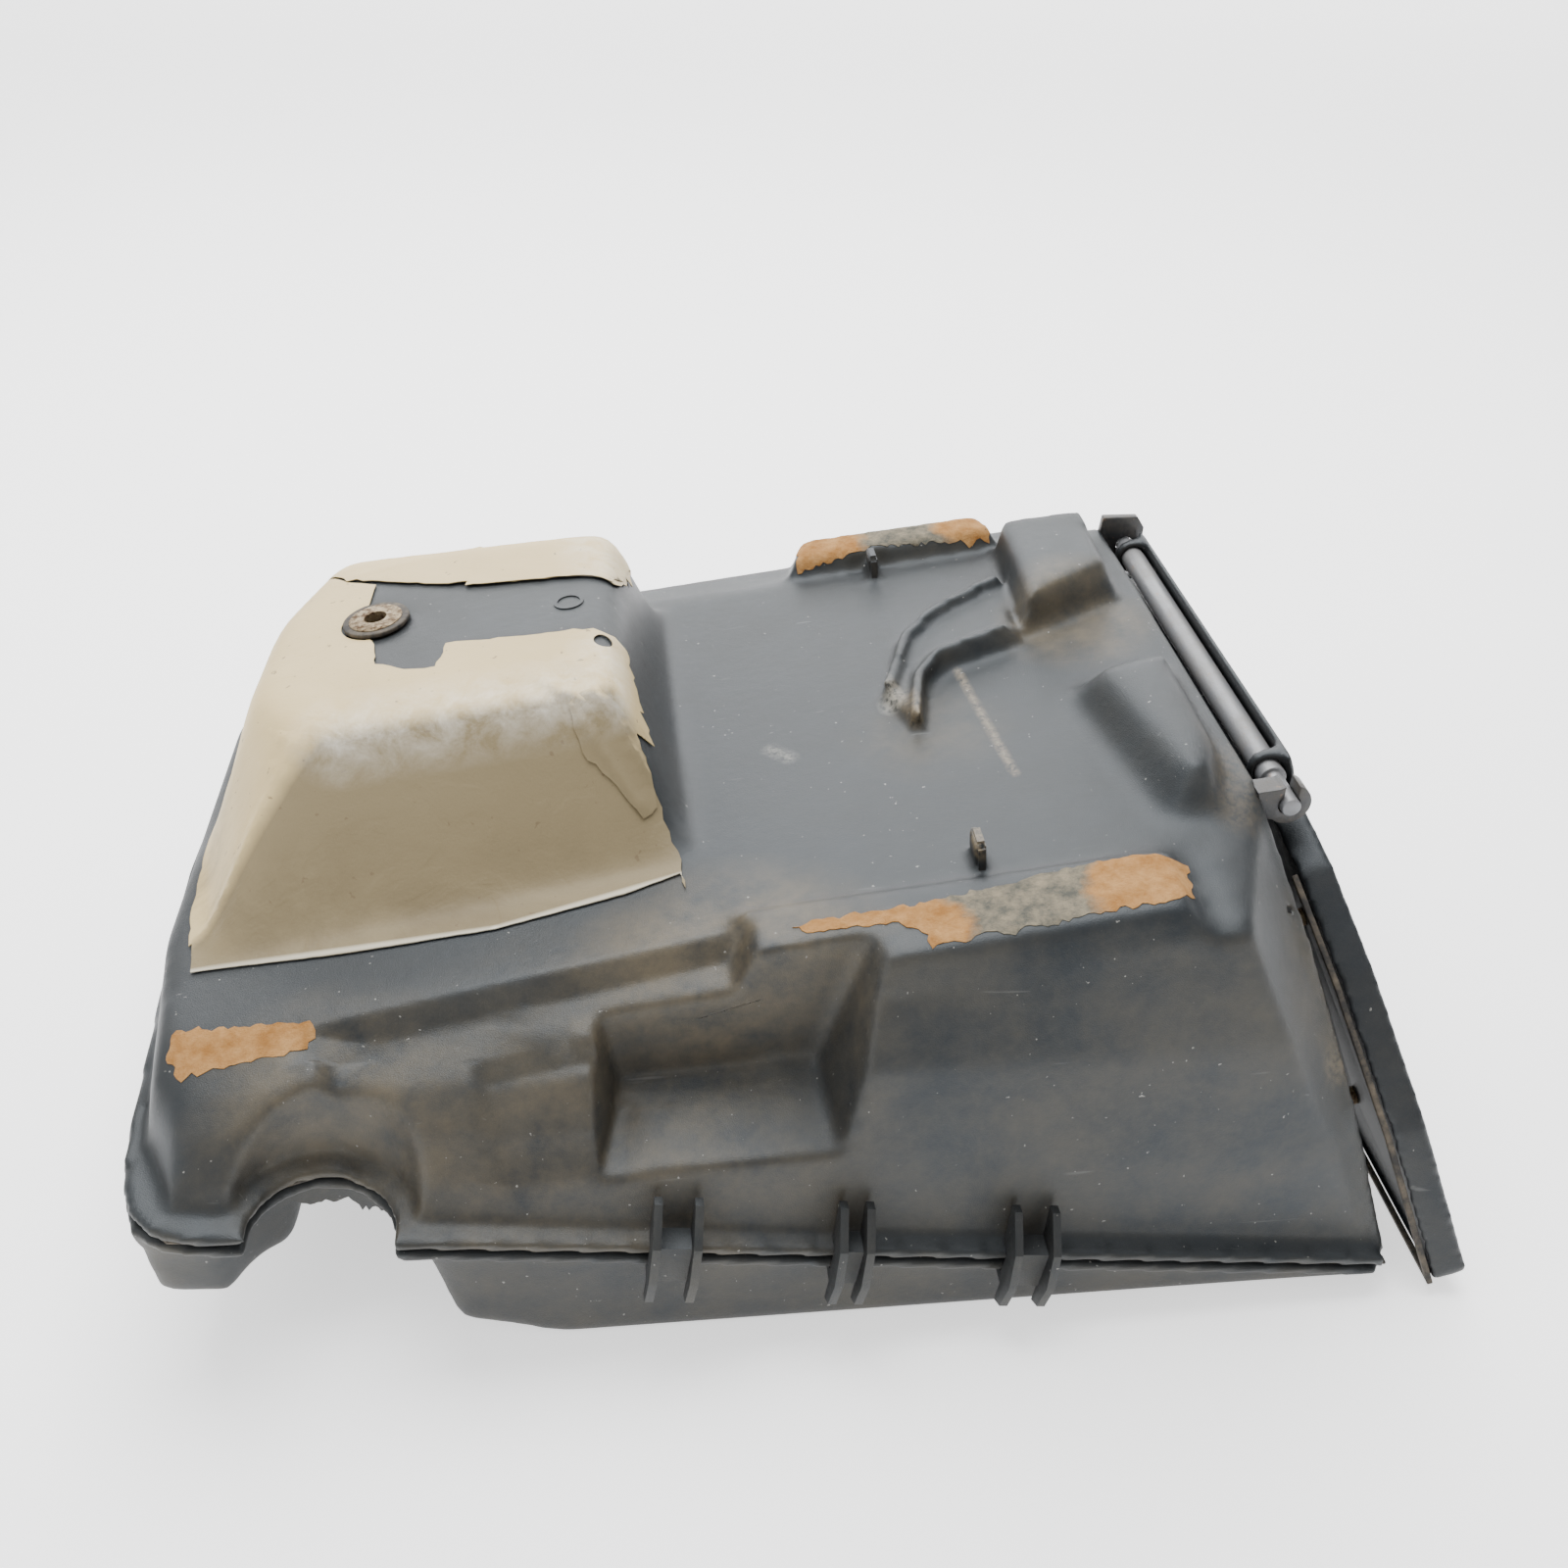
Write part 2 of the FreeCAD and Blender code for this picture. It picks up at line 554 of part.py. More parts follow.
# ---------------------------------------------------------------- grommet and collar
def turned(name, profile):
    """A turned piece about its own Z; the profile holds radius and height pairs."""
    body = new_body(name)
    sketch = new_sketch(body, name + "_profile", "XZ_Plane")
    outline(sketch, profile)
    feature = body.newObject("PartDesign::Revolution", name + "_turn")
    feature.Profile = sketch
    feature.ReferenceAxis = (sketch, ["V_Axis"])
    feature.Angle = 360.0
    return body


wall = DIMS["wall"]
mount_grommet = turned("mount_grommet", [
    (("collar_outer", 0.5), -wall - 2), (("grommet_flange", 0.5), -wall - 2),
    (("grommet_flange", 0.5), -wall), (("grommet_hole", 0.5), -wall),
    (("grommet_hole", 0.5), 0), (("grommet_flange", 0.5), 0),
    (("grommet_flange", 0.5), 1.8), (("collar_outer", 0.5), 1.8),
])
mount_collar = turned("mount_collar", [
    (("collar_bore", 0.5), -wall - 2), (("collar_outer", 0.5), -wall - 2),
    (("collar_outer", 0.5), 1.8), (("collar_flange", 0.5), 1.8),
    (("collar_flange", 0.5), 2.1), (("collar_flange", 0.46), 2.4),
    (("collar_bore", 0.5), 2.4),
])
deck_turn = FreeCAD.Rotation(V(0, 1, 0), -DIMS["deck_tilt"])
deck_base = V(deck_foot_x, 0, deck_height(deck_foot_x))
grommet_point = V(DIMS["grommet_u"], DIMS["grommet_y"], DIMS["block_rise"])
grommet_place = case_place * FreeCAD.Placement(deck_base + deck_turn.multVec(grommet_point), deck_turn)
place_all([mount_grommet, mount_collar], grommet_place)


# ---------------------------------------------------------------- hinge carriers on the case
def across_sketch(body, name, y_high):
    """A sketch seen from the near side whose pad runs from y_high towards the near side."""
    return new_sketch(body, name, "XZ_Plane", FreeCAD.Placement(V(0, 0, -y_high), FreeCAD.Rotation()))


hinge_place = FreeCAD.Placement(V(DIMS["hinge_x"], 0, DIMS["hinge_height"]), FreeCAD.Rotation())
HOOK_HIGH, HOOK_THICK = -73.0, 8.0
EAR_HIGH, EAR_THICK = 116.0, 4.0
hinge_hook = new_body("hinge_hook")
arm = across_sketch(hinge_hook, "HookArmPlan", HOOK_HIGH)
outline(arm, [(-11.8, 5.3), (-8.7, -5.0), (1, -7.0), (1, 7.0)])
pad(hinge_hook, "HookArm", arm, HOOK_THICK)
eye = across_sketch(hinge_hook, "HookEyePlan", HOOK_HIGH)
ring(eye, 0, 0, "hook_radius")
pad(hinge_hook, "HookEye", eye, HOOK_THICK)
bore = across_sketch(hinge_hook, "HookBorePlan", HOOK_HIGH + 1)
ring(bore, 0, 0, DIMS["journal_radius"] + DIMS["journal_play"])
pocket(hinge_hook, "HookBore", bore, HOOK_THICK + 2, True)
gap = across_sketch(hinge_hook, "HookGapPlan", HOOK_HIGH + 1)
outline(gap, [(-2.4, 2.0), (2.4, 2.0), (2.4, 9.0), (-2.4, 9.0)])
pocket(hinge_hook, "HookGap", gap, HOOK_THICK + 2, True)
hinge_ear = new_body("hinge_ear")
plate = across_sketch(hinge_ear, "EarPlan", EAR_HIGH)
outline(plate, [(-11.8, 5.3), (-8.7, -5.0), (3, -7.5), (7.5, -3), (7.5, 8), (4, 13), (-11, 13)])
pad(hinge_ear, "EarPlate", plate, EAR_THICK)
bore = across_sketch(hinge_ear, "EarBorePlan", EAR_HIGH + 1)
ring(bore, 0, 0, DIMS["journal_radius"] + DIMS["journal_play"])
pocket(hinge_ear, "EarBore", bore, EAR_THICK + 2, True)
place_all([hinge_hook, hinge_ear], hinge_place)

# ---------------------------------------------------------------- lid
LID_NEAR = [(-66, 7), (-66, -11), (-92, -20), (-121, -45), (-152, -87), (-174, -139)]
LID_FAR = [(108, 7), (108, -11), (124, -20), (136, -45), (156, -87), (174, -139)]
LID_OUTLINE = LID_NEAR + LID_FAR[::-1]
RIM_WIDTH = 3.0
lid_well = shrink(LID_OUTLINE, RIM_WIDTH)
PANEL_IN, PANEL_OUT = -2.5, -0.5
SCREWS = [(-112, -112), (-84, -48), (100, -48), (112, -112)]
SCREW_RADIUS, SCREW_HEAD = 1.5, 3.2


def facing_sketch(body, name, x):
    """A sketch facing along the lid's thickness; its pad runs outwards."""
    return new_sketch(body, name, "YZ_Plane", FreeCAD.Placement(V(0, 0, x), FreeCAD.Rotation()))


lid_outer = new_body("lid_outer")
tray = facing_sketch(lid_outer, "TrayPlan", -DIMS["rim_in"])
outline(tray, LID_OUTLINE)
pad(lid_outer, "Tray", tray, DIMS["rim_in"] + DIMS["lid_out"])
skin_in = DIMS["lid_out"] - DIMS["skin"]
well = facing_sketch(lid_outer, "WellPlan", skin_in)
outline(well, lid_well)
pocket(lid_outer, "Well", well, skin_in + DIMS["rim_in"] + 1)
throat = facing_sketch(lid_outer, "ThroatPlan", skin_in)
outline(throat, [(-67, -12.5), (109, -12.5), (109, 8), (-67, 8)])
pocket(lid_outer, "Throat", throat, skin_in + DIMS["rim_in"] + 1)
bosses = facing_sketch(lid_outer, "BossPlan", PANEL_OUT)
for y, z in SCREWS:
    ring(bosses, y, z, 4.0)
pad(lid_outer, "Bosses", bosses, skin_in - PANEL_OUT + 0.5)
pilots = facing_sketch(lid_outer, "PilotPlan", PANEL_OUT)
for y, z in SCREWS:
    ring(pilots, y, z, SCREW_RADIUS)
pocket(lid_outer, "Pilots", pilots, 6.0, True)
for i, y_high in enumerate((-57.0, 104.0)):
    lug = across_sketch(lid_outer, f"LugPlan{i}", y_high)
    outline(lug, [(0, -7), (skin_in + 1, -7), (skin_in + 1, 6.5), (0, 6.5)])
    pad(lid_outer, f"Lug{i}", lug, 5.0)
    eye = across_sketch(lid_outer, f"LugEyePlan{i}", y_high)
    ring(eye, 0, 0, "hook_radius")
    pad(lid_outer, f"LugEye{i}", eye, 5.0)
rod_bore = across_sketch(lid_outer, "RodBorePlan", 120.0)
ring(rod_bore, 0, 0, "rod_radius")
pocket(lid_outer, "RodBore", rod_bore, 240.0, True)
stem_hole = facing_sketch(lid_outer, "StemHolePlan", DIMS["lid_out"] + 1)
ring(stem_hole, 0, "-latch_drop", DIMS["stem_radius"] + 0.2)
pocket(lid_outer, "StemHole", stem_hole, 5.0)

lid_inner = new_body("lid_inner")
panel = facing_sketch(lid_inner, "PanelPlan", PANEL_IN)
outline(panel, lid_well[1:-1])
pad(lid_inner, "Panel", panel, PANEL_OUT - PANEL_IN)
holes = facing_sketch(lid_inner, "PanelHolePlan", PANEL_IN)
for y, z in SCREWS:
    ring(holes, y, z, SCREW_RADIUS)
ring(holes, 0, "-latch_drop", DIMS["stem_radius"] + 0.3)
pocket(lid_inner, "PanelHoles", holes, 5.0, True)

seal_outside = shrink(LID_OUTLINE, 0.3)[2:-2]
seal_inside = shrink(LID_OUTLINE, 2.7)[2:-2]
lid_seal = new_body("lid_seal")
strip = facing_sketch(lid_seal, "SealStripPlan", -DIMS["rim_in"] - 2.0)
outline(strip, seal_outside + seal_inside[::-1])
pad(lid_seal, "SealStrip", strip, 2.0)

hinge_rod = new_body("hinge_rod")
rod = across_sketch(hinge_rod, "RodPlan", 109.0)
ring(rod, 0, 0, "rod_radius")
pad(hinge_rod, "Rod", rod, 175.0)
journal = across_sketch(hinge_rod, "JournalPlan", 118.0)
ring(journal, 0, 0, "journal_radius")
pad(hinge_rod, "Journals", journal, 201.0)

lid_screws = []
for i, (y, z) in enumerate(SCREWS, start=1):
    screw = new_body(f"lid_screw_{i}")
    head = facing_sketch(screw, f"HeadPlan{i}", PANEL_IN - 2.0)
    ring(head, y, z, SCREW_HEAD)
    pad(screw, f"Head{i}", head, 2.0)
    shank = facing_sketch(screw, f"ShankPlan{i}", PANEL_IN - 0.5)
    ring(shank, y, z, SCREW_RADIUS)
    pad(screw, f"Shank{i}", shank, 7.5)
    lid_screws.append(screw)

# ---------------------------------------------------------------- latch
CAM_IN, CAM_OUT = -17.0, -14.0
PIVOT_RADIUS = 3.0
latch_stem = new_body("latch_stem")
stem = facing_sketch(latch_stem, "StemPlan", CAM_OUT)
ring(stem, 0, "-latch_drop", "stem_radius")
pad(latch_stem, "Stem", stem, DIMS["lid_out"] + 0.3 - CAM_OUT)
pivot = facing_sketch(latch_stem, "PivotPlan", CAM_IN - 4.0)
ring(pivot, 0, "-latch_drop", PIVOT_RADIUS)
pad(latch_stem, "Pivot", pivot, CAM_OUT - CAM_IN + 5.0)
latch_knob = new_body("latch_knob")
disc = facing_sketch(latch_knob, "DiscPlan", DIMS["lid_out"] + 0.3)
ring(disc, 0, "-latch_drop", "knob_radius")
pad(latch_knob, "Disc", disc, 4.0)
drop = -DIMS["latch_drop"]
grip = facing_sketch(latch_knob, "GripPlan", DIMS["lid_out"] + 4.0)
outline(grip, [(-11, drop - 3), (11, drop - 3), (11, drop + 3), (-11, drop + 3)])
pad(latch_knob, "Grip", grip, 8.0)
latch_cam = new_body("latch_cam")
cam = facing_sketch(latch_cam, "CamPlan", CAM_IN)
reach = DIMS["cam_length"]
cam_plan = [(-6, -6), (6, -6), (reach, -4), (reach, 4), (6, 6), (-6, 6)]
outline(cam, [(y, drop + z) for y, z in cam_plan])
pad(latch_cam, "Cam", cam, CAM_OUT - CAM_IN)
cam_bore = facing_sketch(latch_cam, "CamBorePlan", CAM_IN - 1.0)
ring(cam_bore, 0, "-latch_drop", PIVOT_RADIUS)
pocket(latch_cam, "CamBore", cam_bore, 6.0, True)
latch_nut = new_body("latch_nut")
nut = facing_sketch(latch_nut, "NutPlan", CAM_IN - 4.0)
NUT_RADIUS = 5.8
turns = [math.radians(60 * i) for i in range(6)]
outline(nut, [(NUT_RADIUS * math.cos(a), drop + NUT_RADIUS * math.sin(a)) for a in turns])
pad(latch_nut, "Nut", nut, 4.0)
nut_bore = facing_sketch(latch_nut, "NutBorePlan", CAM_IN - 5.0)
ring(nut_bore, 0, "-latch_drop", PIVOT_RADIUS)
pocket(latch_nut, "NutBore", nut_bore, 6.0, True)
lid_parts = [lid_outer, lid_inner, lid_seal, hinge_rod] + lid_screws
latch_parts = [latch_stem, latch_knob, latch_cam, latch_nut]
place_all(lid_parts + latch_parts, lid_place)

STRIKE_LOW_X, STRIKE_HIGH_X, STRIKE_HALF, STRIKE_RISE = 184.2, 187.2, 12.0, 13.2
strike = new_body("latch_strike")
upstand = new_sketch(strike, "StrikePlan", "XY_Plane", FreeCAD.Placement(V(0, 0, wall), FreeCAD.Rotation()))
outline(upstand, rectangle(STRIKE_LOW_X, STRIKE_HIGH_X, STRIKE_HALF))
pad(strike, "Strike", upstand, STRIKE_RISE)

# ---------------------------------------------------------------- checks and export
case_parts = [upper_shell, lower_shell, seam_seal, mount_grommet, mount_collar, hinge_hook, hinge_ear, strike]
sub_parts = case_parts + seam_clips + heat_tapes + foam_pads + lid_parts + latch_parts
doc.recompute()
for item in doc.Objects:
    if "Invalid" in item.State or "Error" in item.State:
        raise RuntimeError(f"{item.Name} did not recompute")
for item in sub_parts:
    if item.Shape.isNull() or not item.Shape.isValid() or len(item.Shape.Solids) != 1:
        raise RuntimeError(f"{item.Label} has no valid single solid")
for item in sub_parts:
    item.Shape.exportStep(f"parts/{item.Label}.step")
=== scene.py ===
"""Looks of a used moulded storage box: softened shells, draped tape and foam, bevelled fittings."""
import math

import bmesh
import bpy
import numpy as np
from mathutils import Matrix, Vector, noise
from mathutils.bvhtree import BVHTree
from mathutils.geometry import delaunay_2d_cdt


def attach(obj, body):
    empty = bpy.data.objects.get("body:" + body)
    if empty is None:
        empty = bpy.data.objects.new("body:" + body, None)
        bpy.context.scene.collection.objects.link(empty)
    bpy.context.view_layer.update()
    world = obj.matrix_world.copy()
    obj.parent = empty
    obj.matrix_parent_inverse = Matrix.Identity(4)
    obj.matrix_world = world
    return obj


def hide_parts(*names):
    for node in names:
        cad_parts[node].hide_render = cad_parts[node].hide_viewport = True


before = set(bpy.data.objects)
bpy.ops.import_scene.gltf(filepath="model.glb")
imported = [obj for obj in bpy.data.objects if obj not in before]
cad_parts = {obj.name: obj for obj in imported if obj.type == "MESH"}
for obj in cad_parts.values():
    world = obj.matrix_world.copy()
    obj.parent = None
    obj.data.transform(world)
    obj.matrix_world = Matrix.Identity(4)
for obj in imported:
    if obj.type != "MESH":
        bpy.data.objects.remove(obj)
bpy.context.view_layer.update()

MM = 0.001

# ---------------------------------------------------------------- frames of the case
# The case leans on its lower shell, and the deck slopes up towards the lid.
CASE_TILT, DECK_TILT = math.radians(7.5), math.radians(16.0)
DECK_FOOT_X, DECK_Z = -10.7, 84.7
CASE_ORIGIN = (-5.5, 0.0, 37.7)
CASE_FRAME = Matrix.Translation(CASE_ORIGIN) @ Matrix.Rotation(CASE_TILT, 4, "Y")
DECK_IN_CASE = Matrix.Translation((DECK_FOOT_X, 0.0, DECK_Z + DECK_FOOT_X * math.tan(DECK_TILT))) \
    @ Matrix.Rotation(-DECK_TILT, 4, "Y")
DECK_FRAME = CASE_FRAME @ DECK_IN_CASE
DECK_UP = (DECK_FRAME.to_3x3() @ Vector((0, 0, 1))).normalized()


def on_deck(u, y, rise=0.0):
    """The row-frame point, in metres, at u along the deck, y across it and rise above it."""
    return (DECK_FRAME @ Vector((u, y, rise))) * MM


def in_case(x, y, z):
    """The row-frame point, in metres, of a point in the case's own millimetres."""
    return (CASE_FRAME @ Vector((x, y, z))) * MM


# ---------------------------------------------------------------- material helpers
def new_material(name, roughness, metallic=0.0, specular=0.5):
    """A node material and its shader, with the uniform values on the shader's own sockets."""
    material = bpy.data.materials.new(name)
    material.use_nodes = True
    shader = material.node_tree.nodes["Principled BSDF"]
    shader.inputs["Roughness"].default_value = roughness
    shader.inputs["Metallic"].default_value = metallic
    shader.inputs["Specular IOR Level"].default_value = specular
    return material, shader


class Graph:
    """Short calls for the few node kinds that these materials use."""

    def __init__(self, material):
        """Starts at the place in object space that every pattern is drawn from."""
        self.tree = material.node_tree
        self.place = self.tree.nodes.new("ShaderNodeTexCoord").outputs["Object"]

    def link(self, source, target):
        """Joins an output socket to an input socket."""
        self.tree.links.new(source, target)

    def noise(self, scale, detail=3.0, rough=0.5, stretch=None, warp=0.0):
        """Noise in object space, with scale in cells per metre."""
        node = self.tree.nodes.new("ShaderNodeTexNoise")
        node.inputs["Scale"].default_value = scale
        node.inputs["Detail"].default_value = detail
        node.inputs["Roughness"].default_value = rough
        node.inputs["Distortion"].default_value = warp
        source = self.place
        if stretch:
            mapping = self.tree.nodes.new("ShaderNodeMapping")
            mapping.inputs["Scale"].default_value = stretch
            self.link(self.place, mapping.inputs["Vector"])
            source = mapping.outputs["Vector"]
        self.link(source, node.inputs["Vector"])
        return node.outputs["Fac"]

    def span(self, value, low, high, to_low=0.0, to_high=1.0):
        """A clamped linear map of a value."""
        node = self.tree.nodes.new("ShaderNodeMapRange")
        node.inputs["From Min"].default_value = low
        node.inputs["From Max"].default_value = high
        node.inputs["To Min"].default_value = to_low
        node.inputs["To Max"].default_value = to_high
        self.link(value, node.inputs["Value"])
        return node.outputs["Result"]

    def math(self, operation, first, second):
        """One arithmetic step on two numbers or sockets."""
        node = self.tree.nodes.new("ShaderNodeMath")
        node.operation = operation
        for socket, value in zip(node.inputs, (first, second)):
            if isinstance(value, (int, float)):
                socket.default_value = value
            else:
                self.link(value, socket)
        return node.outputs[0]

    def times(self, first, second):
        """The product of two numbers or sockets."""
        return self.math("MULTIPLY", first, second)

    def mix(self, factor, first, second):
        """A colour mix. Colours are linear (r, g, b) or sockets."""
        node = self.tree.nodes.new("ShaderNodeMix")
        node.data_type = "RGBA"
        for index, value in ((0, factor), (6, first), (7, second)):
            if isinstance(value, (int, float)):
                node.inputs[index].default_value = value
            elif isinstance(value, tuple):
                node.inputs[index].default_value = (*value, 1.0)
            else:
                self.link(value, node.inputs[index])
        return node.outputs[2]

    def near(self, centre, reach, fade):
        """1 within reach of a row-frame point (metres), falling to 0 over fade."""
        node = self.tree.nodes.new("ShaderNodeVectorMath")
        node.operation = "DISTANCE"
        node.inputs[1].default_value = centre
        self.link(self.place, node.inputs[0])
        return self.span(node.outputs["Value"], reach, reach + fade, 1.0, 0.0)

    def vector(self, operation, first, second):
        """One vector step. LENGTH takes None as its second value."""
        node = self.tree.nodes.new("ShaderNodeVectorMath")
        node.operation = operation
        self.link(first, node.inputs[0])
        if isinstance(second, (tuple, Vector)):
            node.inputs[1].default_value = tuple(second)
        elif operation == "SCALE":
            self.link(second, node.inputs["Scale"])
        elif second is not None:
            self.link(second, node.inputs[1])
        return node.outputs["Value" if operation in ("LENGTH", "DOT_PRODUCT") else "Vector"]

    def stroke(self, start, end, reach, fade):
        """1 within reach of the straight line between two row-frame points, falling to 0 over fade."""
        run = end - start
        offset = self.vector("SUBTRACT", self.place, start)
        share = self.span(self.vector("DOT_PRODUCT", offset, run / run.length_squared), 0.0, 1.0)
        combine = self.tree.nodes.new("ShaderNodeCombineXYZ")
        for socket, size in zip(combine.inputs, run):
            socket.default_value = size
        closest = self.vector("SCALE", combine.outputs["Vector"], share)
        apart = self.vector("LENGTH", self.vector("SUBTRACT", offset, closest), None)
        return self.span(apart, reach, reach + fade, 1.0, 0.0)

    def facing(self, axis):
        """The component of the surface normal along x, y or z of the row frame at rest."""
        node = self.tree.nodes.new("ShaderNodeNewGeometry")
        split = self.tree.nodes.new("ShaderNodeSeparateXYZ")
        turn = self.tree.nodes.new("ShaderNodeVectorTransform")
        turn.vector_type = "NORMAL"
        turn.convert_from, turn.convert_to = "WORLD", "OBJECT"
        self.link(node.outputs["Normal"], turn.inputs[0])
        self.link(turn.outputs[0], split.inputs[0])
        return split.outputs["XYZ".index(axis.upper())]

    def along(self, axis):
        """The x, y or z of the place in the row frame at rest, in metres."""
        split = self.tree.nodes.new("ShaderNodeSeparateXYZ")
        self.link(self.place, split.inputs[0])
        return split.outputs["XYZ".index(axis.upper())]

    def bump(self, shader, *layers):
        """Bump layers of (height, depth in metres)."""
        normal = None
        for height, depth in layers:
            node = self.tree.nodes.new("ShaderNodeBump")
            node.inputs["Distance"].default_value = depth
            self.link(height, node.inputs["Height"])
            if normal:
                self.link(normal, node.inputs["Normal"])
            normal = node.outputs["Normal"]
        self.link(normal, shader.inputs["Normal"])


# ---------------------------------------------------------------- materials
BROWN_DUST = (0.100, 0.084, 0.056)
CORNER_DIRT = (0.105, 0.083, 0.050)
PALE_SPECK = (0.38, 0.37, 0.34)
SCRATCH_GREY = (0.22, 0.22, 0.21)
COLD_SHEEN = (0.88, 0.95, 1.0, 1.0)
PLASTIC_GRAIN_DEPTH, PLASTIC_RIPPLE_DEPTH = 0.00012, 0.00010


def moulded_plastic(name, base, dust_amount, dirt_spots=(), scuffs=(), roughness=0.46):
    """Fine-grained black moulding with dust, faint scuffs and brown dirt in its corners."""
    material, shader = new_material(name, roughness, specular=0.42)
    shader.inputs["Specular Tint"].default_value = COLD_SHEEN
    g = Graph(material)
    mottle = g.span(g.noise(26, 5, 0.6), 0.35, 0.7)
    colour = g.mix(mottle, tuple(c * 0.82 for c in base), tuple(c * 1.18 for c in base))
    upward = g.span(g.facing("z"), 0.1, 0.9, 0.5, 0.25)
    sidewall = g.span(g.math("ABSOLUTE", g.facing("y"), 0.0), 0.4, 0.95)
    dust_map = g.times(g.span(g.noise(24, 7, 0.72, warp=0.15), 0.36, 0.78), dust_amount)
    dust = g.times(dust_map, g.math("ADD", upward, sidewall))
    colour = g.mix(dust, colour, BROWN_DUST)
    for centre, reach, fade, strength in dirt_spots:
        patch = g.times(g.near(centre, reach, fade), g.span(g.noise(60, 6, 0.7), 0.3, 0.65))
        colour = g.mix(g.times(patch, strength), colour, CORNER_DIRT)
    for start, end, reach, fade, strength, tone in scuffs:
        mark = g.times(g.stroke(start, end, reach, fade), g.span(g.noise(420, 5, 0.7), 0.36, 0.58))
        colour = g.mix(g.times(mark, strength), colour, tone)
    specks = g.span(g.noise(520, 2, 0.5), 0.735, 0.77)
    colour = g.mix(g.times(specks, 0.55), colour, PALE_SPECK)
    scratches = g.span(g.noise(260, 2, 0.4, stretch=(0.10, 1.6, 1.0), warp=0.3), 0.74, 0.80)
    colour = g.mix(g.times(scratches, 0.22), colour, SCRATCH_GREY)
    g.link(colour, shader.inputs["Base Color"])
    g.link(g.span(dust_map, 0.0, 1.0, roughness - 0.05, roughness + 0.22), shader.inputs["Roughness"])
    g.bump(shader, (g.noise(2600, 2, 0.6), PLASTIC_GRAIN_DEPTH), (g.noise(240, 3, 0.5), PLASTIC_RIPPLE_DEPTH))
    return material


# The khaki is painted shade together with staining on the tape's walls.
TAPE_CREAM, TAPE_TAN, TAPE_WALL_SHADE_AND_STAIN = (0.66, 0.52, 0.27), (0.56, 0.43, 0.21), (0.165, 0.132, 0.074)
TAPE_LOW_DARKENING, TAPE_SPECK = (0.085, 0.062, 0.030), (0.13, 0.09, 0.05)
SILVER_WEAR_AND_HIGHLIGHT, PALE_EDGE = (0.80, 0.77, 0.70), (0.72, 0.68, 0.56)
# Places along this direction in the floor plane, in metres, tell the near wall from the left one.
CREASE_NORMAL, CREASE_FROM, CREASE_TO = (0.733, -0.68, 0.0), -0.099, -0.094
# Start, end, reach and fade of each rubbed edge, which gets bare silver and a painted highlight.
SILVER_EDGES = [
    (on_deck(-138, -25, 43), on_deck(-56, -24, 45), 0.004, 0.018),
    (on_deck(-54, 100, 46), on_deck(-50, 62, 46), 0.002, 0.016),
    (on_deck(-50, 0, 46), on_deck(-46, -30, 43), 0.002, 0.012),
]
LOWER_EDGE = [on_deck(-193, -86, 0), on_deck(-94, -89, 0), on_deck(-33, -77, 0)]
LOWER_EDGE_REACH, LOWER_EDGE_FADE = 0.0006, 0.0016
TAPE_GRAIN_DEPTH, TAPE_CREASE_DEPTH, TAPE_WAVE_DEPTH = 0.00008, 0.00006, 0.0003


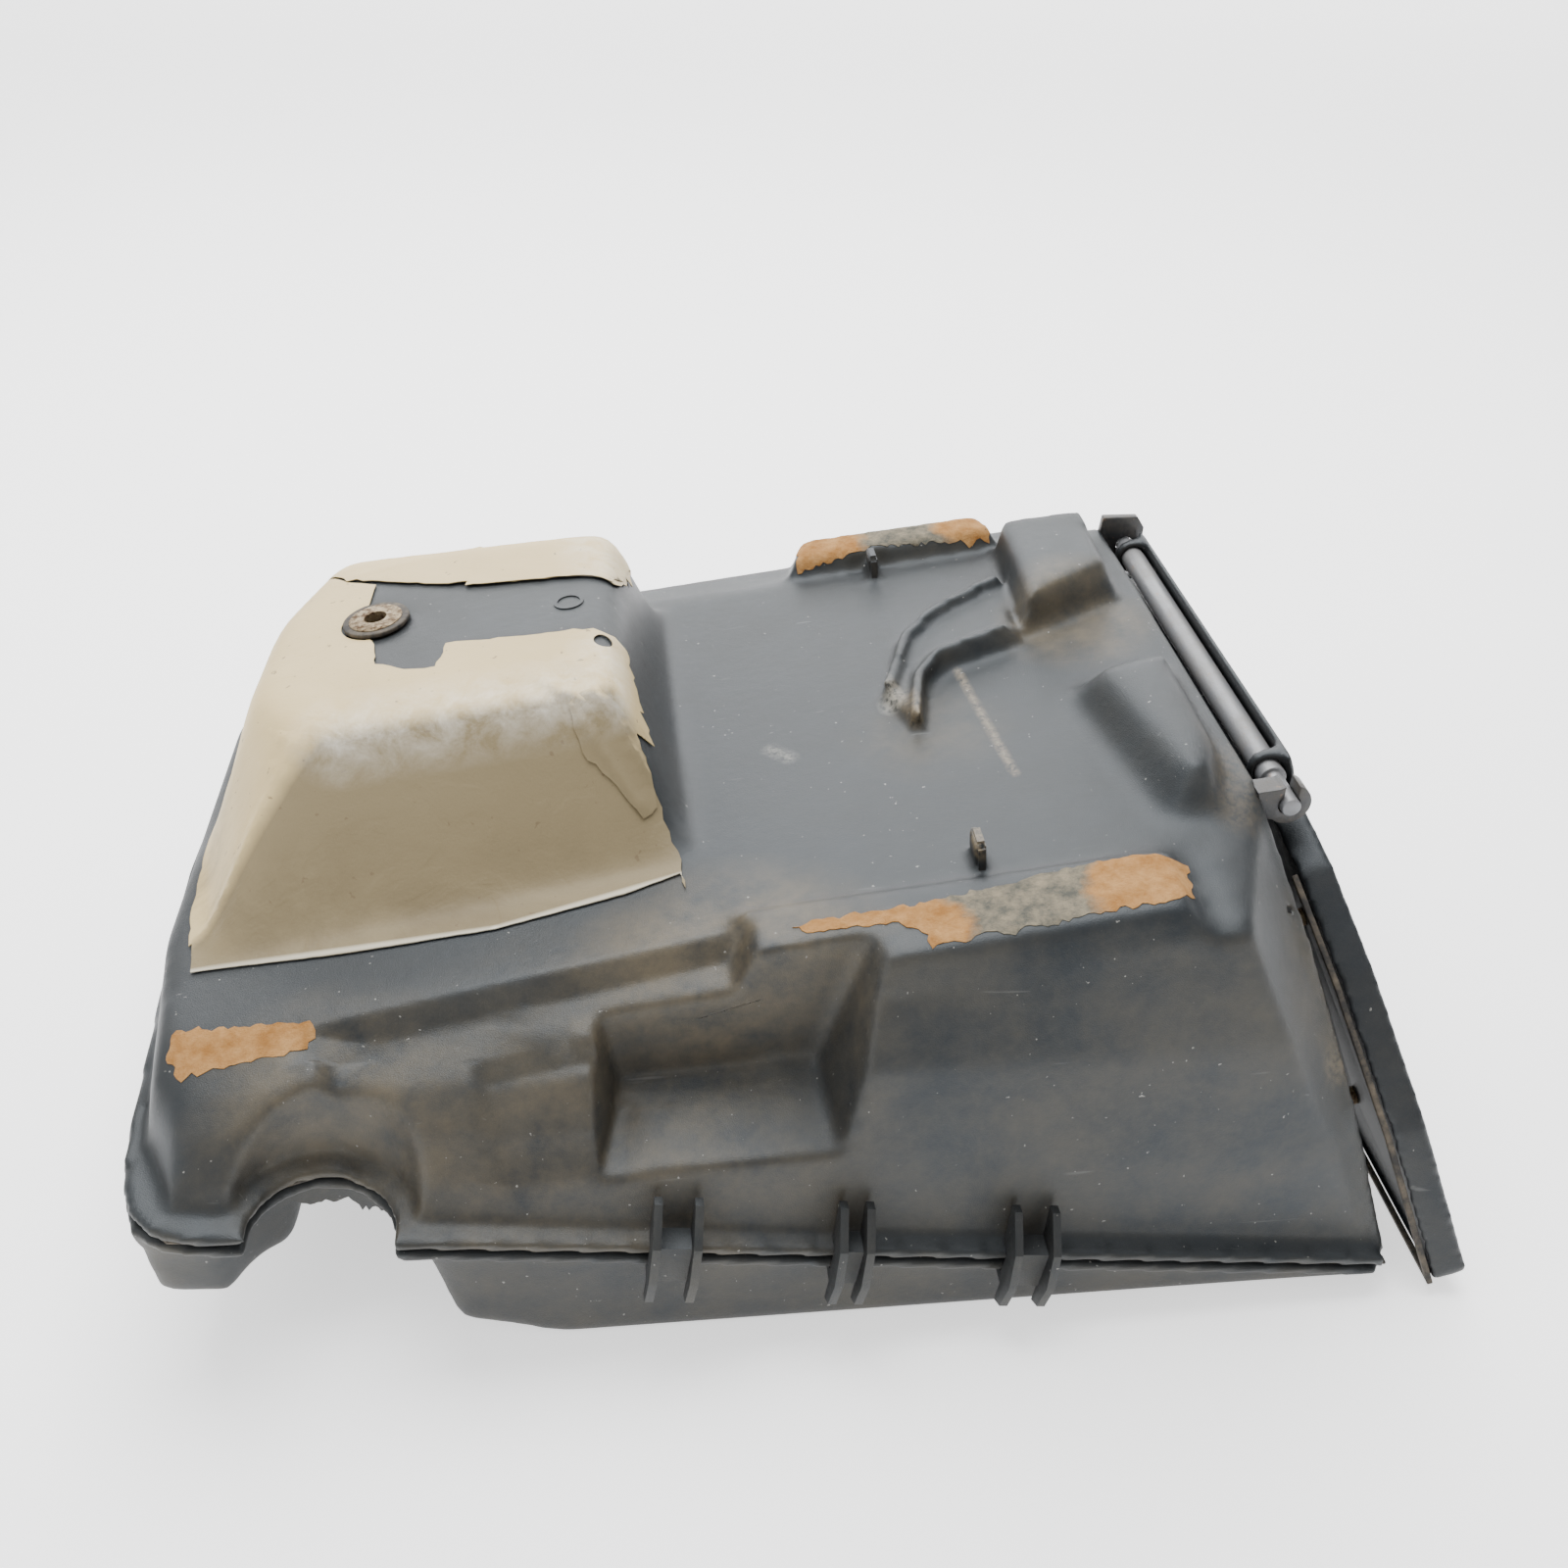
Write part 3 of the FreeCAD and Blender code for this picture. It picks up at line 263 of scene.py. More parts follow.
def heat_tape_material():
    """Cream aluminised tape: warm on top, khaki on its walls from painted shade and staining, with bare
    silver and a painted highlight at worn edges.
    """
    material, shader = new_material("heat_tape_worn", 0.50, specular=0.25)
    g = Graph(material)
    colour = g.mix(g.span(g.noise(11, 5, 0.6, warp=0.5), 0.35, 0.68), TAPE_CREAM, TAPE_TAN)
    steep = g.span(g.facing("z"), 0.84, 0.965, 1.0, 0.0)
    wall = g.times(steep, g.span(g.facing("y"), -0.4, -0.12, 1.0, 0.25))
    # The near wall's khaki, painted shade and staining, starts to the right of the corner crease and runs to
    # the tape's lower edge.
    past_crease = g.span(g.vector("DOT_PRODUCT", g.place, CREASE_NORMAL), CREASE_FROM, CREASE_TO)
    lower_skirt = g.span(g.along("y"), -0.052, -0.036, 1.0, 0.0)
    wall = g.times(g.math("MAXIMUM", wall, lower_skirt), g.span(past_crease, 0.0, 1.0, 0.2, 1.0))
    colour = g.mix(g.times(wall, 0.92), colour, TAPE_WALL_SHADE_AND_STAIN)
    # Blotchy darkening towards the bottom of the tape.
    low = g.span(g.along("z"), 0.085, 0.13, 1.0, 0.0)
    low_blotches = g.span(g.noise(18, 6, 0.7, warp=0.8), 0.4, 0.7)
    colour = g.mix(g.times(g.times(low, low_blotches), 0.8), colour, TAPE_LOW_DARKENING)
    specks = g.span(g.noise(300, 2, 0.5), 0.70, 0.74)
    colour = g.mix(g.times(specks, 0.6), colour, TAPE_SPECK)
    # Bare silver along the rubbed edges, brightened as a painted highlight.
    edge, corner, side = [g.stroke(*line) for line in SILVER_EDGES]
    worn = g.math("MAXIMUM", g.math("MAXIMUM", edge, corner), side)
    silver = g.times(worn, g.span(g.noise(90, 6, 0.7, warp=0.3), 0.36, 0.78))
    colour = g.mix(g.times(silver, 0.6), colour, SILVER_WEAR_AND_HIGHLIGHT)
    for start, end in zip(LOWER_EDGE, LOWER_EDGE[1:]):
        line = g.stroke(start, end, LOWER_EDGE_REACH, LOWER_EDGE_FADE)
        colour = g.mix(g.times(line, 0.7), colour, PALE_EDGE)
    g.link(colour, shader.inputs["Base Color"])
    g.link(g.span(silver, 0.0, 1.0, 0.50, 0.26), shader.inputs["Roughness"])
    g.link(g.times(silver, 0.15), shader.inputs["Metallic"])
    creases = g.span(g.noise(34, 3, 0.5, warp=1.2), 0.47, 0.53)
    g.bump(shader, (g.noise(900, 2, 0.5), TAPE_GRAIN_DEPTH), (creases, TAPE_CREASE_DEPTH),
           (g.noise(60, 4, 0.6), TAPE_WAVE_DEPTH))
    return material


FOAM_ORANGE = ((0.27, 0.125, 0.036), (0.42, 0.235, 0.092))
FOAM_GREY = ((0.085, 0.085, 0.072), (0.24, 0.205, 0.145))
# The centre and reach of each patch that keeps its orange.
ORANGE_PATCHES = [
    (on_deck(112, -122, 5), 0.014),
    (on_deck(34, -130, 5), 0.012),
    (on_deck(10, -124, 5), 0.012),
    (on_deck(38, 124, 8), 0.012),
    (on_deck(104, 124, 8), 0.008),
    (on_deck(-176, -120, -2), 0.018),
    (on_deck(-160, -120, -2), 0.010),
]
ORANGE_FADE = 0.016
FOAM_GRAIN_DEPTH, FOAM_CRUMB_DEPTH = 0.0004, 0.0006


def foam_material():
    """Crumbled foam residue: orange rust-brown patches in grey-buff powder."""
    material, shader = new_material("foam_residue", 0.95, specular=0.15)
    g = Graph(material)
    orange = g.mix(g.span(g.noise(120, 5, 0.7), 0.35, 0.65), *FOAM_ORANGE)
    grey = g.mix(g.span(g.noise(170, 5, 0.7), 0.35, 0.65), *FOAM_GREY)
    amount = None
    for centre, reach in ORANGE_PATCHES:
        near = g.near(tuple(centre), reach, ORANGE_FADE)
        amount = near if amount is None else g.math("MAXIMUM", amount, near)
    broken = g.span(g.math("ADD", amount, g.times(g.noise(80, 5, 0.65), 0.9)), 0.85, 1.15)
    g.link(g.mix(broken, grey, orange), shader.inputs["Base Color"])
    g.bump(shader, (g.noise(1400, 4, 0.7), FOAM_GRAIN_DEPTH), (g.noise(200, 3, 0.6), FOAM_CRUMB_DEPTH))
    return material


FINE_GRAIN_DEPTH, STEEL_GRAIN_DEPTH, RUST_DEPTH = 0.0001, 0.00008, 0.00015
PLATING, RUST = (0.27, 0.21, 0.125), (0.085, 0.045, 0.022)
RUBBER_BLACK, RUBBER_DUST = (0.030, 0.028, 0.026), (0.20, 0.16, 0.11)
METAL_DUST, CHIP_BROWN = (0.17, 0.145, 0.11), (0.25, 0.15, 0.09)
FLOOR_WHITES = ((0.93, 0.93, 0.94), (0.97, 0.97, 0.975))
FLOOR_GLOW = 1.0


def rusty_steel():
    """Plated steel with brown rust bloom."""
    material, shader = new_material("rusty_steel", 0.5, metallic=0.7)
    g = Graph(material)
    rust = g.span(g.noise(420, 6, 0.7), 0.42, 0.62)
    colour = g.mix(rust, PLATING, RUST)
    g.link(colour, shader.inputs["Base Color"])
    g.link(g.span(rust, 0, 1, 0.38, 0.8), shader.inputs["Roughness"])
    g.bump(shader, (rust, RUST_DEPTH), (g.noise(2000, 3, 0.6), STEEL_GRAIN_DEPTH))
    return material


def rubber_material():
    """Dull rubber with dust in its grain."""
    material, shader = new_material("dusty_rubber", 0.72, specular=0.35)
    g = Graph(material)
    dust = g.span(g.noise(190, 6, 0.7), 0.4, 0.72)
    g.link(g.mix(g.times(dust, 0.6), RUBBER_BLACK, RUBBER_DUST), shader.inputs["Base Color"])
    g.bump(shader, (g.noise(1500, 3, 0.6), FINE_GRAIN_DEPTH))
    return material


def painted_metal(name, paint):
    """Painted metal, greyed by dust and chipped where it is handled."""
    material, shader = new_material(name, 0.40, metallic=0.25)
    g = Graph(material)
    chips = g.span(g.noise(260, 5, 0.7), 0.62, 0.68)
    dust = g.span(g.noise(90, 6, 0.7), 0.42, 0.7)
    colour = g.mix(g.times(dust, 0.35), paint, METAL_DUST)
    colour = g.mix(g.times(chips, 0.5), colour, CHIP_BROWN)
    g.link(colour, shader.inputs["Base Color"])
    g.link(g.span(dust, 0, 1, 0.34, 0.62), shader.inputs["Roughness"])
    g.bump(shader, (g.noise(1200, 3, 0.6), FINE_GRAIN_DEPTH))
    return material


def floor_material():
    """A plain pale floor with the faintest mottling."""
    material, shader = new_material("pale_floor", 0.65, specular=0.3)
    g = Graph(material)
    g.link(g.mix(g.noise(5, 4), *FLOOR_WHITES), shader.inputs["Base Color"])
    shader.inputs["Emission Color"].default_value = (1.0, 1.0, 1.0, 1.0)
    shader.inputs["Emission Strength"].default_value = FLOOR_GLOW
    return material


# The centre, reach, fade and strength of each patch of dirt.
CASE_DIRT = [
    (tuple(in_case(-146, -142, 26)), 0.020, 0.026, 0.7),
    (tuple(in_case(-34, -127, 88)), 0.034, 0.026, 0.85),
    (tuple(in_case(-62, -162, 24)), 0.040, 0.050, 0.55),
    (tuple(on_deck(128, 38, 8)), 0.020, 0.014, 0.8),
    (tuple(in_case(176, -124, 84)), 0.018, 0.030, 0.5),
    (tuple(on_deck(60, -16, 0)), 0.014, 0.020, 0.35),
]
PALE_SCUFF, BROWN_SCUFF = (0.42, 0.40, 0.34), (0.22, 0.17, 0.10)
TAN_SCUFF, DARK_SCUFF = (0.26, 0.21, 0.14), (0.13, 0.10, 0.06)
# The start, end, reach, fade, strength and colour of each scuff.
CASE_SCUFFS = [
    (on_deck(105, 79, 18), on_deck(106, 24, 18), 0.0006, 0.0016, 0.9, PALE_SCUFF),
    (on_deck(46, 10, 8), on_deck(50, 2, 4), 0.0020, 0.0050, 0.6, PALE_SCUFF),
    (on_deck(52, 4, 9), on_deck(56, -14, 7), 0.0016, 0.0050, 0.7, BROWN_SCUFF),
    (on_deck(78, 20, 0), on_deck(84, -50, 0), 0.0001, 0.0024, 0.6, TAN_SCUFF),
    (on_deck(3, -12, 0), on_deck(9, -19, 0), 0.0001, 0.0045, 0.28, PALE_SCUFF),
    (on_deck(66, -84, 8), on_deck(63, -98, 10), 0.0022, 0.0040, 0.7, BROWN_SCUFF),
    (on_deck(150, -90, 2), on_deck(152, -60, 6), 0.0030, 0.0100, 0.4, DARK_SCUFF),
    (in_case(168, -146, 66), in_case(172, -140, 80), 0.0020, 0.0080, 0.55, BROWN_SCUFF),
    (on_deck(30, -141, 4), on_deck(112, -141, 4), 0.0003, 0.0018, 0.35, PALE_SCUFF),
]
UPPER_PLASTIC = moulded_plastic("upper_black_plastic", (0.0135, 0.0160, 0.0185), 0.42, CASE_DIRT, CASE_SCUFFS)
LOWER_PLASTIC = moulded_plastic("lower_black_plastic", (0.012, 0.0135, 0.015), 0.42, roughness=0.52)
LID_PLASTIC = moulded_plastic("lid_black_plastic", (0.012, 0.014, 0.017), 0.22)
TAPE = heat_tape_material()
FOAM = foam_material()
STEEL = rusty_steel()
RUBBER = rubber_material()
METAL = painted_metal("black_painted_metal", (0.035, 0.036, 0.038))
ROD_METAL = painted_metal("worn_rod_metal", (0.20, 0.205, 0.215))


# ---------------------------------------------------------------- mesh helpers
def arrays(mesh):
    """Vertex places and edge ends as arrays."""
    places = np.empty(len(mesh.vertices) * 3)
    mesh.vertices.foreach_get("co", places)
    ends = np.empty(len(mesh.edges) * 2, dtype=np.int64)
    mesh.edges.foreach_get("vertices", ends)
    return places.reshape(-1, 3), ends.reshape(-1, 2)


def relax(mesh, passes):
    """Laplacian smoothing. passes is the number of rounds that each vertex takes part in."""
    places, ends = arrays(mesh)
    count = len(places)
    both = np.concatenate([ends, ends[:, ::-1]])
    degree = np.maximum(np.bincount(both[:, 0], minlength=count), 1)
    for step in range(int(passes.max())):
        share = np.clip(passes - step, 0.0, 1.0)[:, None] * 0.5
        around = np.stack([np.bincount(both[:, 0], weights=places[both[:, 1], k], minlength=count)
                           for k in range(3)], axis=1) / degree[:, None]
        places += (around - places) * share
    mesh.vertices.foreach_set("co", places.ravel())
    mesh.update()


def applied(obj):
    """Replaces an object's mesh by its evaluated one."""
    graph = bpy.context.evaluated_depsgraph_get()
    mesh = bpy.data.meshes.new_from_object(obj.evaluated_get(graph))
    obj.modifiers.clear()
    obj.data = mesh
    return obj


def link_new(name, mesh, material):
    """A new object in the scene with one material."""
    obj = bpy.data.objects.new(name, mesh)
    bpy.context.scene.collection.objects.link(obj)
    mesh.materials.clear()
    mesh.materials.append(material)
    return obj


def shade(obj, angle=40.0):
    """Smooth shading that stays sharp at edges above the angle, in degrees."""
    for polygon in obj.data.polygons:
        polygon.use_smooth = True
    with bpy.context.temp_override(object=obj, active_object=obj, selected_objects=[obj],
                                   selected_editable_objects=[obj]):
        bpy.ops.object.shade_smooth_by_angle(angle=math.radians(angle))


def lead(obj, body, slot, *nodes):
    """Fixes a piece to its body, in place of the CAD nodes that it shows, if any. The slot is not used."""
    if nodes:
        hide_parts(*nodes)
    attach(obj, body)


TRIANGLE_LIMIT = 185000
MOUTH_X, MOUTH_LEAN, MOUTH_BAND = 196.7, math.radians(24.1), 0.3
BEAD_RADIUS, SHORTEST_LIP, BEAD_SIDES = 1.7, 1.0, 10


def bead_mouth(mesh):
    """Adds a round bead along the thin edge of the mouth, before the mesh is made even."""
    work = bmesh.new()
    work.from_mesh(mesh)
    into_case = CASE_FRAME.inverted()

    def off_mouth(vertex):
        """How far a corner is from the leaning plane of the mouth, in mm."""
        spot = into_case @ (vertex.co / MM)
        return abs(spot.x + spot.z * math.tan(MOUTH_LEAN) - MOUTH_X)

    lips = [(edge.verts[0].co.copy(), edge.verts[1].co.copy()) for edge in work.edges
            if all(off_mouth(vertex) < MOUTH_BAND for vertex in edge.verts)
            and edge.calc_length() > SHORTEST_LIP * MM]
    for start, end in lips:
        turn = (end - start).to_track_quat("Z", "Y").to_matrix().to_4x4()
        place = Matrix.Translation((start + end) / 2) @ turn
        bmesh.ops.create_cone(work, cap_ends=True, segments=BEAD_SIDES, radius1=BEAD_RADIUS * MM,
                              radius2=BEAD_RADIUS * MM, depth=(end - start).length, matrix=place)
        bmesh.ops.create_icosphere(work, subdivisions=1, radius=BEAD_RADIUS * MM,
                                   matrix=Matrix.Translation(end))
    work.to_mesh(mesh)
    work.free()


def softened(name, node, material, voxel, passes_at, prepare=None):
    """A remeshed and smoothed copy of a CAD node. passes_at gives the rounds at each place."""
    obj = link_new(name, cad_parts[node].data.copy(), material)
    if prepare:
        prepare(obj.data)
    remesh = obj.modifiers.new("even", "REMESH")
    remesh.mode, remesh.voxel_size = "VOXEL", voxel
    applied(obj)
    places, _ = arrays(obj.data)
    relax(obj.data, passes_at(places / MM))
    triangles = len(obj.data.polygons) * 2
    if triangles > TRIANGLE_LIMIT:
        thin = obj.modifiers.new("thin", "DECIMATE")
        thin.ratio = TRIANGLE_LIMIT / triangles
        applied(obj)
    obj.data.materials.clear()
    obj.data.materials.append(material)
    for polygon in obj.data.polygons:
        polygon.use_smooth = True
    return obj


MERGE_DISTANCE, FLAT_ANGLE = 0.00002, math.radians(1.5)
BEVEL_SEGMENTS, BEVEL_ANGLE = 3, math.radians(35.0)


def bevelled(name, node, material, width):
    """A copy of a CAD node with rounded edges."""
    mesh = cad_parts[node].data.copy()
    obj = link_new(name, mesh, material)
    work = bmesh.new()
    work.from_mesh(mesh)
    bmesh.ops.remove_doubles(work, verts=work.verts, dist=MERGE_DISTANCE)
    bmesh.ops.dissolve_limit(work, angle_limit=FLAT_ANGLE, verts=work.verts, edges=work.edges)
    work.to_mesh(mesh)
    work.free()
    bevel = obj.modifiers.new("round", "BEVEL")
    bevel.width, bevel.segments = width, BEVEL_SEGMENTS
    bevel.limit_method, bevel.angle_limit = "ANGLE", BEVEL_ANGLE
    bevel.use_clamp_overlap = True
    applied(obj)
    shade(obj)
    return obj


# ---------------------------------------------------------------- the shells
to_deck = np.array(DECK_FRAME.inverted())
to_case = np.array(CASE_FRAME.inverted())


def moved(places, matrix):
    """Places taken into the frame that a 4 by 4 matrix leads to."""
    return places @ matrix[:3, :3].T + matrix[:3, 3]


def window(value, low, high, fade):
    """1 between low and high, falling to 0 over fade outside them."""
    return np.clip((value - low) / fade + 1.0, 0, 1) * np.clip((high - value) / fade + 1.0, 0, 1)


def zone(places, *spans):
    """1 inside a box, with a (low, high, fade) in mm for x, y and, where it is given, z."""
    share = window(places[:, 0], *spans[0])
    for axis in range(1, len(spans)):
        share = share * window(places[:, axis], *spans[axis])
    return share


# How many smoothing rounds each region takes.
WALL_PASSES, BLOCK_PASSES, SIDE_HUMP_PASSES, FLANGE_PASSES, MOUTH_PASSES = 12, 80, 22, 3, 8
LOWER_PASSES, LID_PASSES = 26, 7.0


def upper_passes(places):
    """Wide radii on the raised block, medium ones on the walls and crisp flange lips."""
    deck, case = moved(places, to_deck), moved(places, to_case)
    block = zone(deck, (-215, -8, 12), (-92, 125, 8)) * np.clip((deck[:, 2] + 2) / 8, 0, 1)
    passes = WALL_PASSES + BLOCK_PASSES * block
    ribs = zone(deck, (44, 108, 4), (-22, 84, 4), (-1, 30, 2))
    passes = passes * (1 - 0.75 * ribs)
    side_hump = zone(deck, (104, 152, 6), (-104, 4, 6), (0, 30, 3))
    passes = passes + SIDE_HUMP_PASSES * side_hump
    recess = zone(case, (-98, 26, 6), (-158, -118, 4), (16, 128, 6))
    passes = passes * (1 - 0.5 * recess)
    tabs = zone(deck, (50, 64, 3), (104, 118, 3)) + zone(deck, (56, 72, 3), (-98, -80, 3))
    passes = passes * (1 - 0.92 * np.clip(tabs, 0, 1))
    flange = np.clip((14 - case[:, 2]) / 8, 0, 1)
    passes = passes * (1 - flange) + FLANGE_PASSES * flange
    mouth = np.clip((case[:, 0] - 176) / 8, 0, 1)
    return passes * (1 - mouth) + np.minimum(passes, MOUTH_PASSES) * mouth


def smooth_step(value):
    """A soft rise from 0 to 1."""
    value = np.clip(value, 0.0, 1.0)
    return value * value * (3.0 - 2.0 * value)


# The start u and y, end u and y, drop and width of each step, in mm.
LEDGES = [
    ((-141, -118), (-22, -108), 6.5, 6.0),
    ((-96, -134), (-62, -131), 5.0, 4.5),
]


def sink_ledges(mesh):
    """Steps the deck down along the near side, as the ledges under its edge."""
    places, _ = arrays(mesh)
    deck = moved(places / MM, to_deck)
    drop = np.zeros(len(deck))
    for (u0, y0), (u1, y1), depth, width in LEDGES:
        line = y0 + (deck[:, 0] - u0) * (y1 - y0) / (u1 - u0)
        beyond = smooth_step((line - deck[:, 1]) / width)
        along = smooth_step((deck[:, 0] - u0 + 8) / 8) * smooth_step((u1 + 12 - deck[:, 0]) / 12)
        above = smooth_step((deck[:, 2] + 52) / 34)
        drop += depth * beyond * along * above
    places -= np.outer(drop * MM, np.array(DECK_UP))
    mesh.vertices.foreach_set("co", places.ravel())
    mesh.update()


def lower_passes(places):
    """Wide radii on the lower shell, apart from its flange."""
    case = moved(places, to_case)
    edge = np.clip((case[:, 2] + 12) / 6, 0, 1)
    return LOWER_PASSES * (1 - edge) + FLANGE_PASSES * edge


def lid_passes(places):
    """The same small radii all over the lid."""
    return np.full(len(places), LID_PASSES)


coarse = 1.0
CASE_VOXEL, LID_VOXEL = 0.0018 * coarse, 0.0015 * coarse
upper = softened("upper_case_shell", "upper_shell", UPPER_PLASTIC, CASE_VOXEL, upper_passes, bead_mouth)
lead(upper, "case", "black_plastic", "upper_shell")
sink_ledges(upper.data)
lower = softened("lower_case_shell", "lower_shell", LOWER_PLASTIC, CASE_VOXEL, lower_passes)
lead(lower, "case", "black_plastic", "lower_shell")
lid = softened("lid_outer_shell", "lid_outer", LID_PLASTIC, LID_VOXEL, lid_passes)
lead(lid, "lid", "black_plastic", "lid_outer")


# ---------------------------------------------------------------- draped tape and foam
def tree_of(obj):
    """A search tree of an object's faces, in the row frame."""
    work = bmesh.new()
    work.from_mesh(obj.data)
    tree = BVHTree.FromBMesh(work)
    work.free()
    return tree


upper_tree = tree_of(upper)
COARSE_TEARS, FINE_TEARS = 0.31, 1.1
CUT_EDGE_SHARE = 0.15


def ragged(points, step, depth, seed, rough_edges=None):
    """A closed outline cut into short pieces whose ends wander by up to depth."""
    result = []
    for index, start in enumerate(points):
        start, end = Vector(start), Vector(points[(index + 1) % len(points)])
        pieces = max(1, int((end - start).length / step))
        side = Vector((end.y - start.y, start.x - end.x)).normalized()
        wander = depth if rough_edges is None or index in rough_edges else depth * CUT_EDGE_SHARE
        for k in range(pieces):
            spot = start.lerp(end, k / pieces)
            shift = noise.noise(Vector((spot.x * COARSE_TEARS, spot.y * COARSE_TEARS, seed))) * wander
            shift += noise.noise(Vector((spot.x * FINE_TEARS, spot.y * FINE_TEARS, seed + 9))) * wander * 0.5
            result.append(spot + side * shift)
    return result


def inside(spot, loop):
    """Whether a deck point lies inside a closed loop."""
    crossing = False
    for a, b in zip(loop, loop[1:] + loop[:1]):
        if (a.y > spot.y) != (b.y > spot.y) and spot.x < (b.x - a.x) * (spot.y - a.y) / (b.y - a.y) + a.x:
            crossing = not crossing
    return crossing


def filled(outline, holes, spacing):
    """Triangles that fill a deck outline apart from its holes, on an even grid."""
    loops = [outline, *holes]
    low = Vector((min(p.x for p in outline), min(p.y for p in outline)))
    high = Vector((max(p.x for p in outline), max(p.y for p in outline)))
    spots, edges = [], []
    for loop in loops:
        first = len(spots)
        spots += loop
        edges += [(first + k, first + (k + 1) % len(loop)) for k in range(len(loop))]
    columns, rows = int((high.x - low.x) / spacing), int((high.y - low.y) / spacing)
    for i in range(columns):
        for j in range(rows):
            spot = Vector((low.x + (i + 0.5) * spacing, low.y + (j + 0.5 + 0.25 * (i % 2)) * spacing))
            if inside(spot, outline) and not any(inside(spot, hole) for hole in holes):
                spots.append(spot)
    points, _, triangles, *_ = delaunay_2d_cdt(spots, edges, [], 0, 0.001)
    kept = []
    for triangle in triangles:
        centre = sum((points[k] for k in triangle), Vector((0, 0))) / 3
        if inside(centre, outline) and not any(inside(centre, hole) for hole in holes):
            kept.append(triangle)
    return points, kept


SEARCH_HEIGHT = 90.0
SKIN_ANGLE = 50.0
SKIN_SPACING = 2.2
skin_coarse = 1.0


def draped(name, outline, material, thickness, lift, holes=(), spacing=SKIN_SPACING, relief=None):
    """A thin skin that lies on the upper shell inside a deck outline. relief adds height in mm."""
    points, triangles = filled(outline, list(holes), spacing * skin_coarse)
    mesh = bpy.data.meshes.new(name)
    places = []
    for spot in points:
        hit, normal, *_ = upper_tree.ray_cast(on_deck(spot.x, spot.y, SEARCH_HEIGHT), -DECK_UP)
        if hit is None:
            hit, normal = on_deck(spot.x, spot.y, 0.0), DECK_UP
        extra = relief(spot) if relief else 0.0
        places.append(hit + normal * (lift + extra) * MM)
    mesh.from_pydata([tuple(place) for place in places], [], [tuple(corners) for corners in triangles])
    obj = link_new(name, mesh, material)
    work = bmesh.new()
    work.from_mesh(mesh)
    bmesh.ops.recalc_face_normals(work, faces=work.faces)
    up = sum(face.normal.dot(DECK_UP) for face in work.faces)
    if up < 0:
        bmesh.ops.reverse_faces(work, faces=work.faces)
    loose = [vertex for vertex in work.verts if not vertex.link_faces]
    bmesh.ops.delete(work, geom=loose, context="VERTS")
    work.to_mesh(mesh)
    work.free()
    solid = obj.modifiers.new("thick", "SOLIDIFY")
    solid.thickness, solid.offset = thickness * MM, -1.0
    applied(obj)
    shade(obj, SKIN_ANGLE)
    return obj


OVERRUN, FADE_RATE = 0.1, 5
STEP_WIDTH, STEP_REACH = 0.8, 14


def fold(spot, start, end, height, width, side=0.0):
    """The height of a raised crease that runs from start to end and fades at its ends."""
    a, b = Vector(start), Vector(end)
    along = (spot - a).dot(b - a) / (b - a).length_squared
    if not -OVERRUN < along < 1 + OVERRUN:
        return 0.0
    across = ((spot.x - a.x) * (b.y - a.y) - (spot.y - a.y) * (b.x - a.x)) / (b - a).length
    fade = min(1.0, max(0.0, (along + OVERRUN) * FADE_RATE), max(0.0, (1 + OVERRUN - along) * FADE_RATE))
    ridge = math.exp(-(across / width) ** 2)
    step = side / (1 + math.exp(-across / STEP_WIDTH)) if side else 0.0
    return (height * ridge + step * max(0.0, 1 - abs(across) / STEP_REACH)) * fade


def crumple(spot, amount, scale, seed):
    """The height of fine wrinkles with sharp valleys."""
    return amount * abs(noise.noise(Vector((spot.x * scale, spot.y * scale, seed))))


# The start, end, height and width of each fold, and how much higher one of its sides lies, in mm.
FRONT_FOLDS = [
    ((-145, -19), (-196, -74), 0.9, 1.6, 0.7),
    ((-168, -13), (-150, -34), 0.8, 1.5, 0.0),
    ((-172, -22), (-156, -40), 0.6, 1.3, 0.0),
    ((-72, -16), (-52, -36), 0.7, 1.6, 0.0),
    ((-66, -4), (-50, -22), 0.5, 1.4, 0.0),
    ((-60, -24), (-44, -52), 0.6, 2.0, 0.0),
]
REAR_FOLDS = [
    ((-97, 118), (-102, 60), 0.5, 1.4, 0.4),
    ((-148, 84), (-120, 90), 0.4, 1.5, 0.0),
]


def bell(spot, u, y, reach_u, reach_y):
    """1 at a deck point, falling off smoothly around it."""
    return math.exp(-((spot.x - u) / reach_u) ** 2 - ((spot.y - y) / reach_y) ** 2)


def front_relief(spot):
    """Folds and wrinkles of the front tape, most of them near its rubbed edge and corner."""
    height = sum(fold(spot, *line) for line in FRONT_FOLDS)
    worn = bell(spot, -100, -22, 55, 14)
    corner = bell(spot, -52, -22, 14, 22)
    return height + crumple(spot, 0.12 * worn + 0.3 * corner + 0.06, 0.19, 3.0)


def rear_relief(spot):
    """Folds and wrinkles of the rear tape."""
    return sum(fold(spot, *line) for line in REAR_FOLDS) + crumple(spot, 0.2, 0.12, 5.0)


def ring_points(u, y, radius, count=28, stretch=1.0):
    """Points around a circle on the deck, or around an ellipse that is stretched across it."""
    return [Vector((u + radius * math.cos(2 * math.pi * k / count),
                    y + stretch * radius * math.sin(2 * math.pi * k / count))) for k in range(count)]


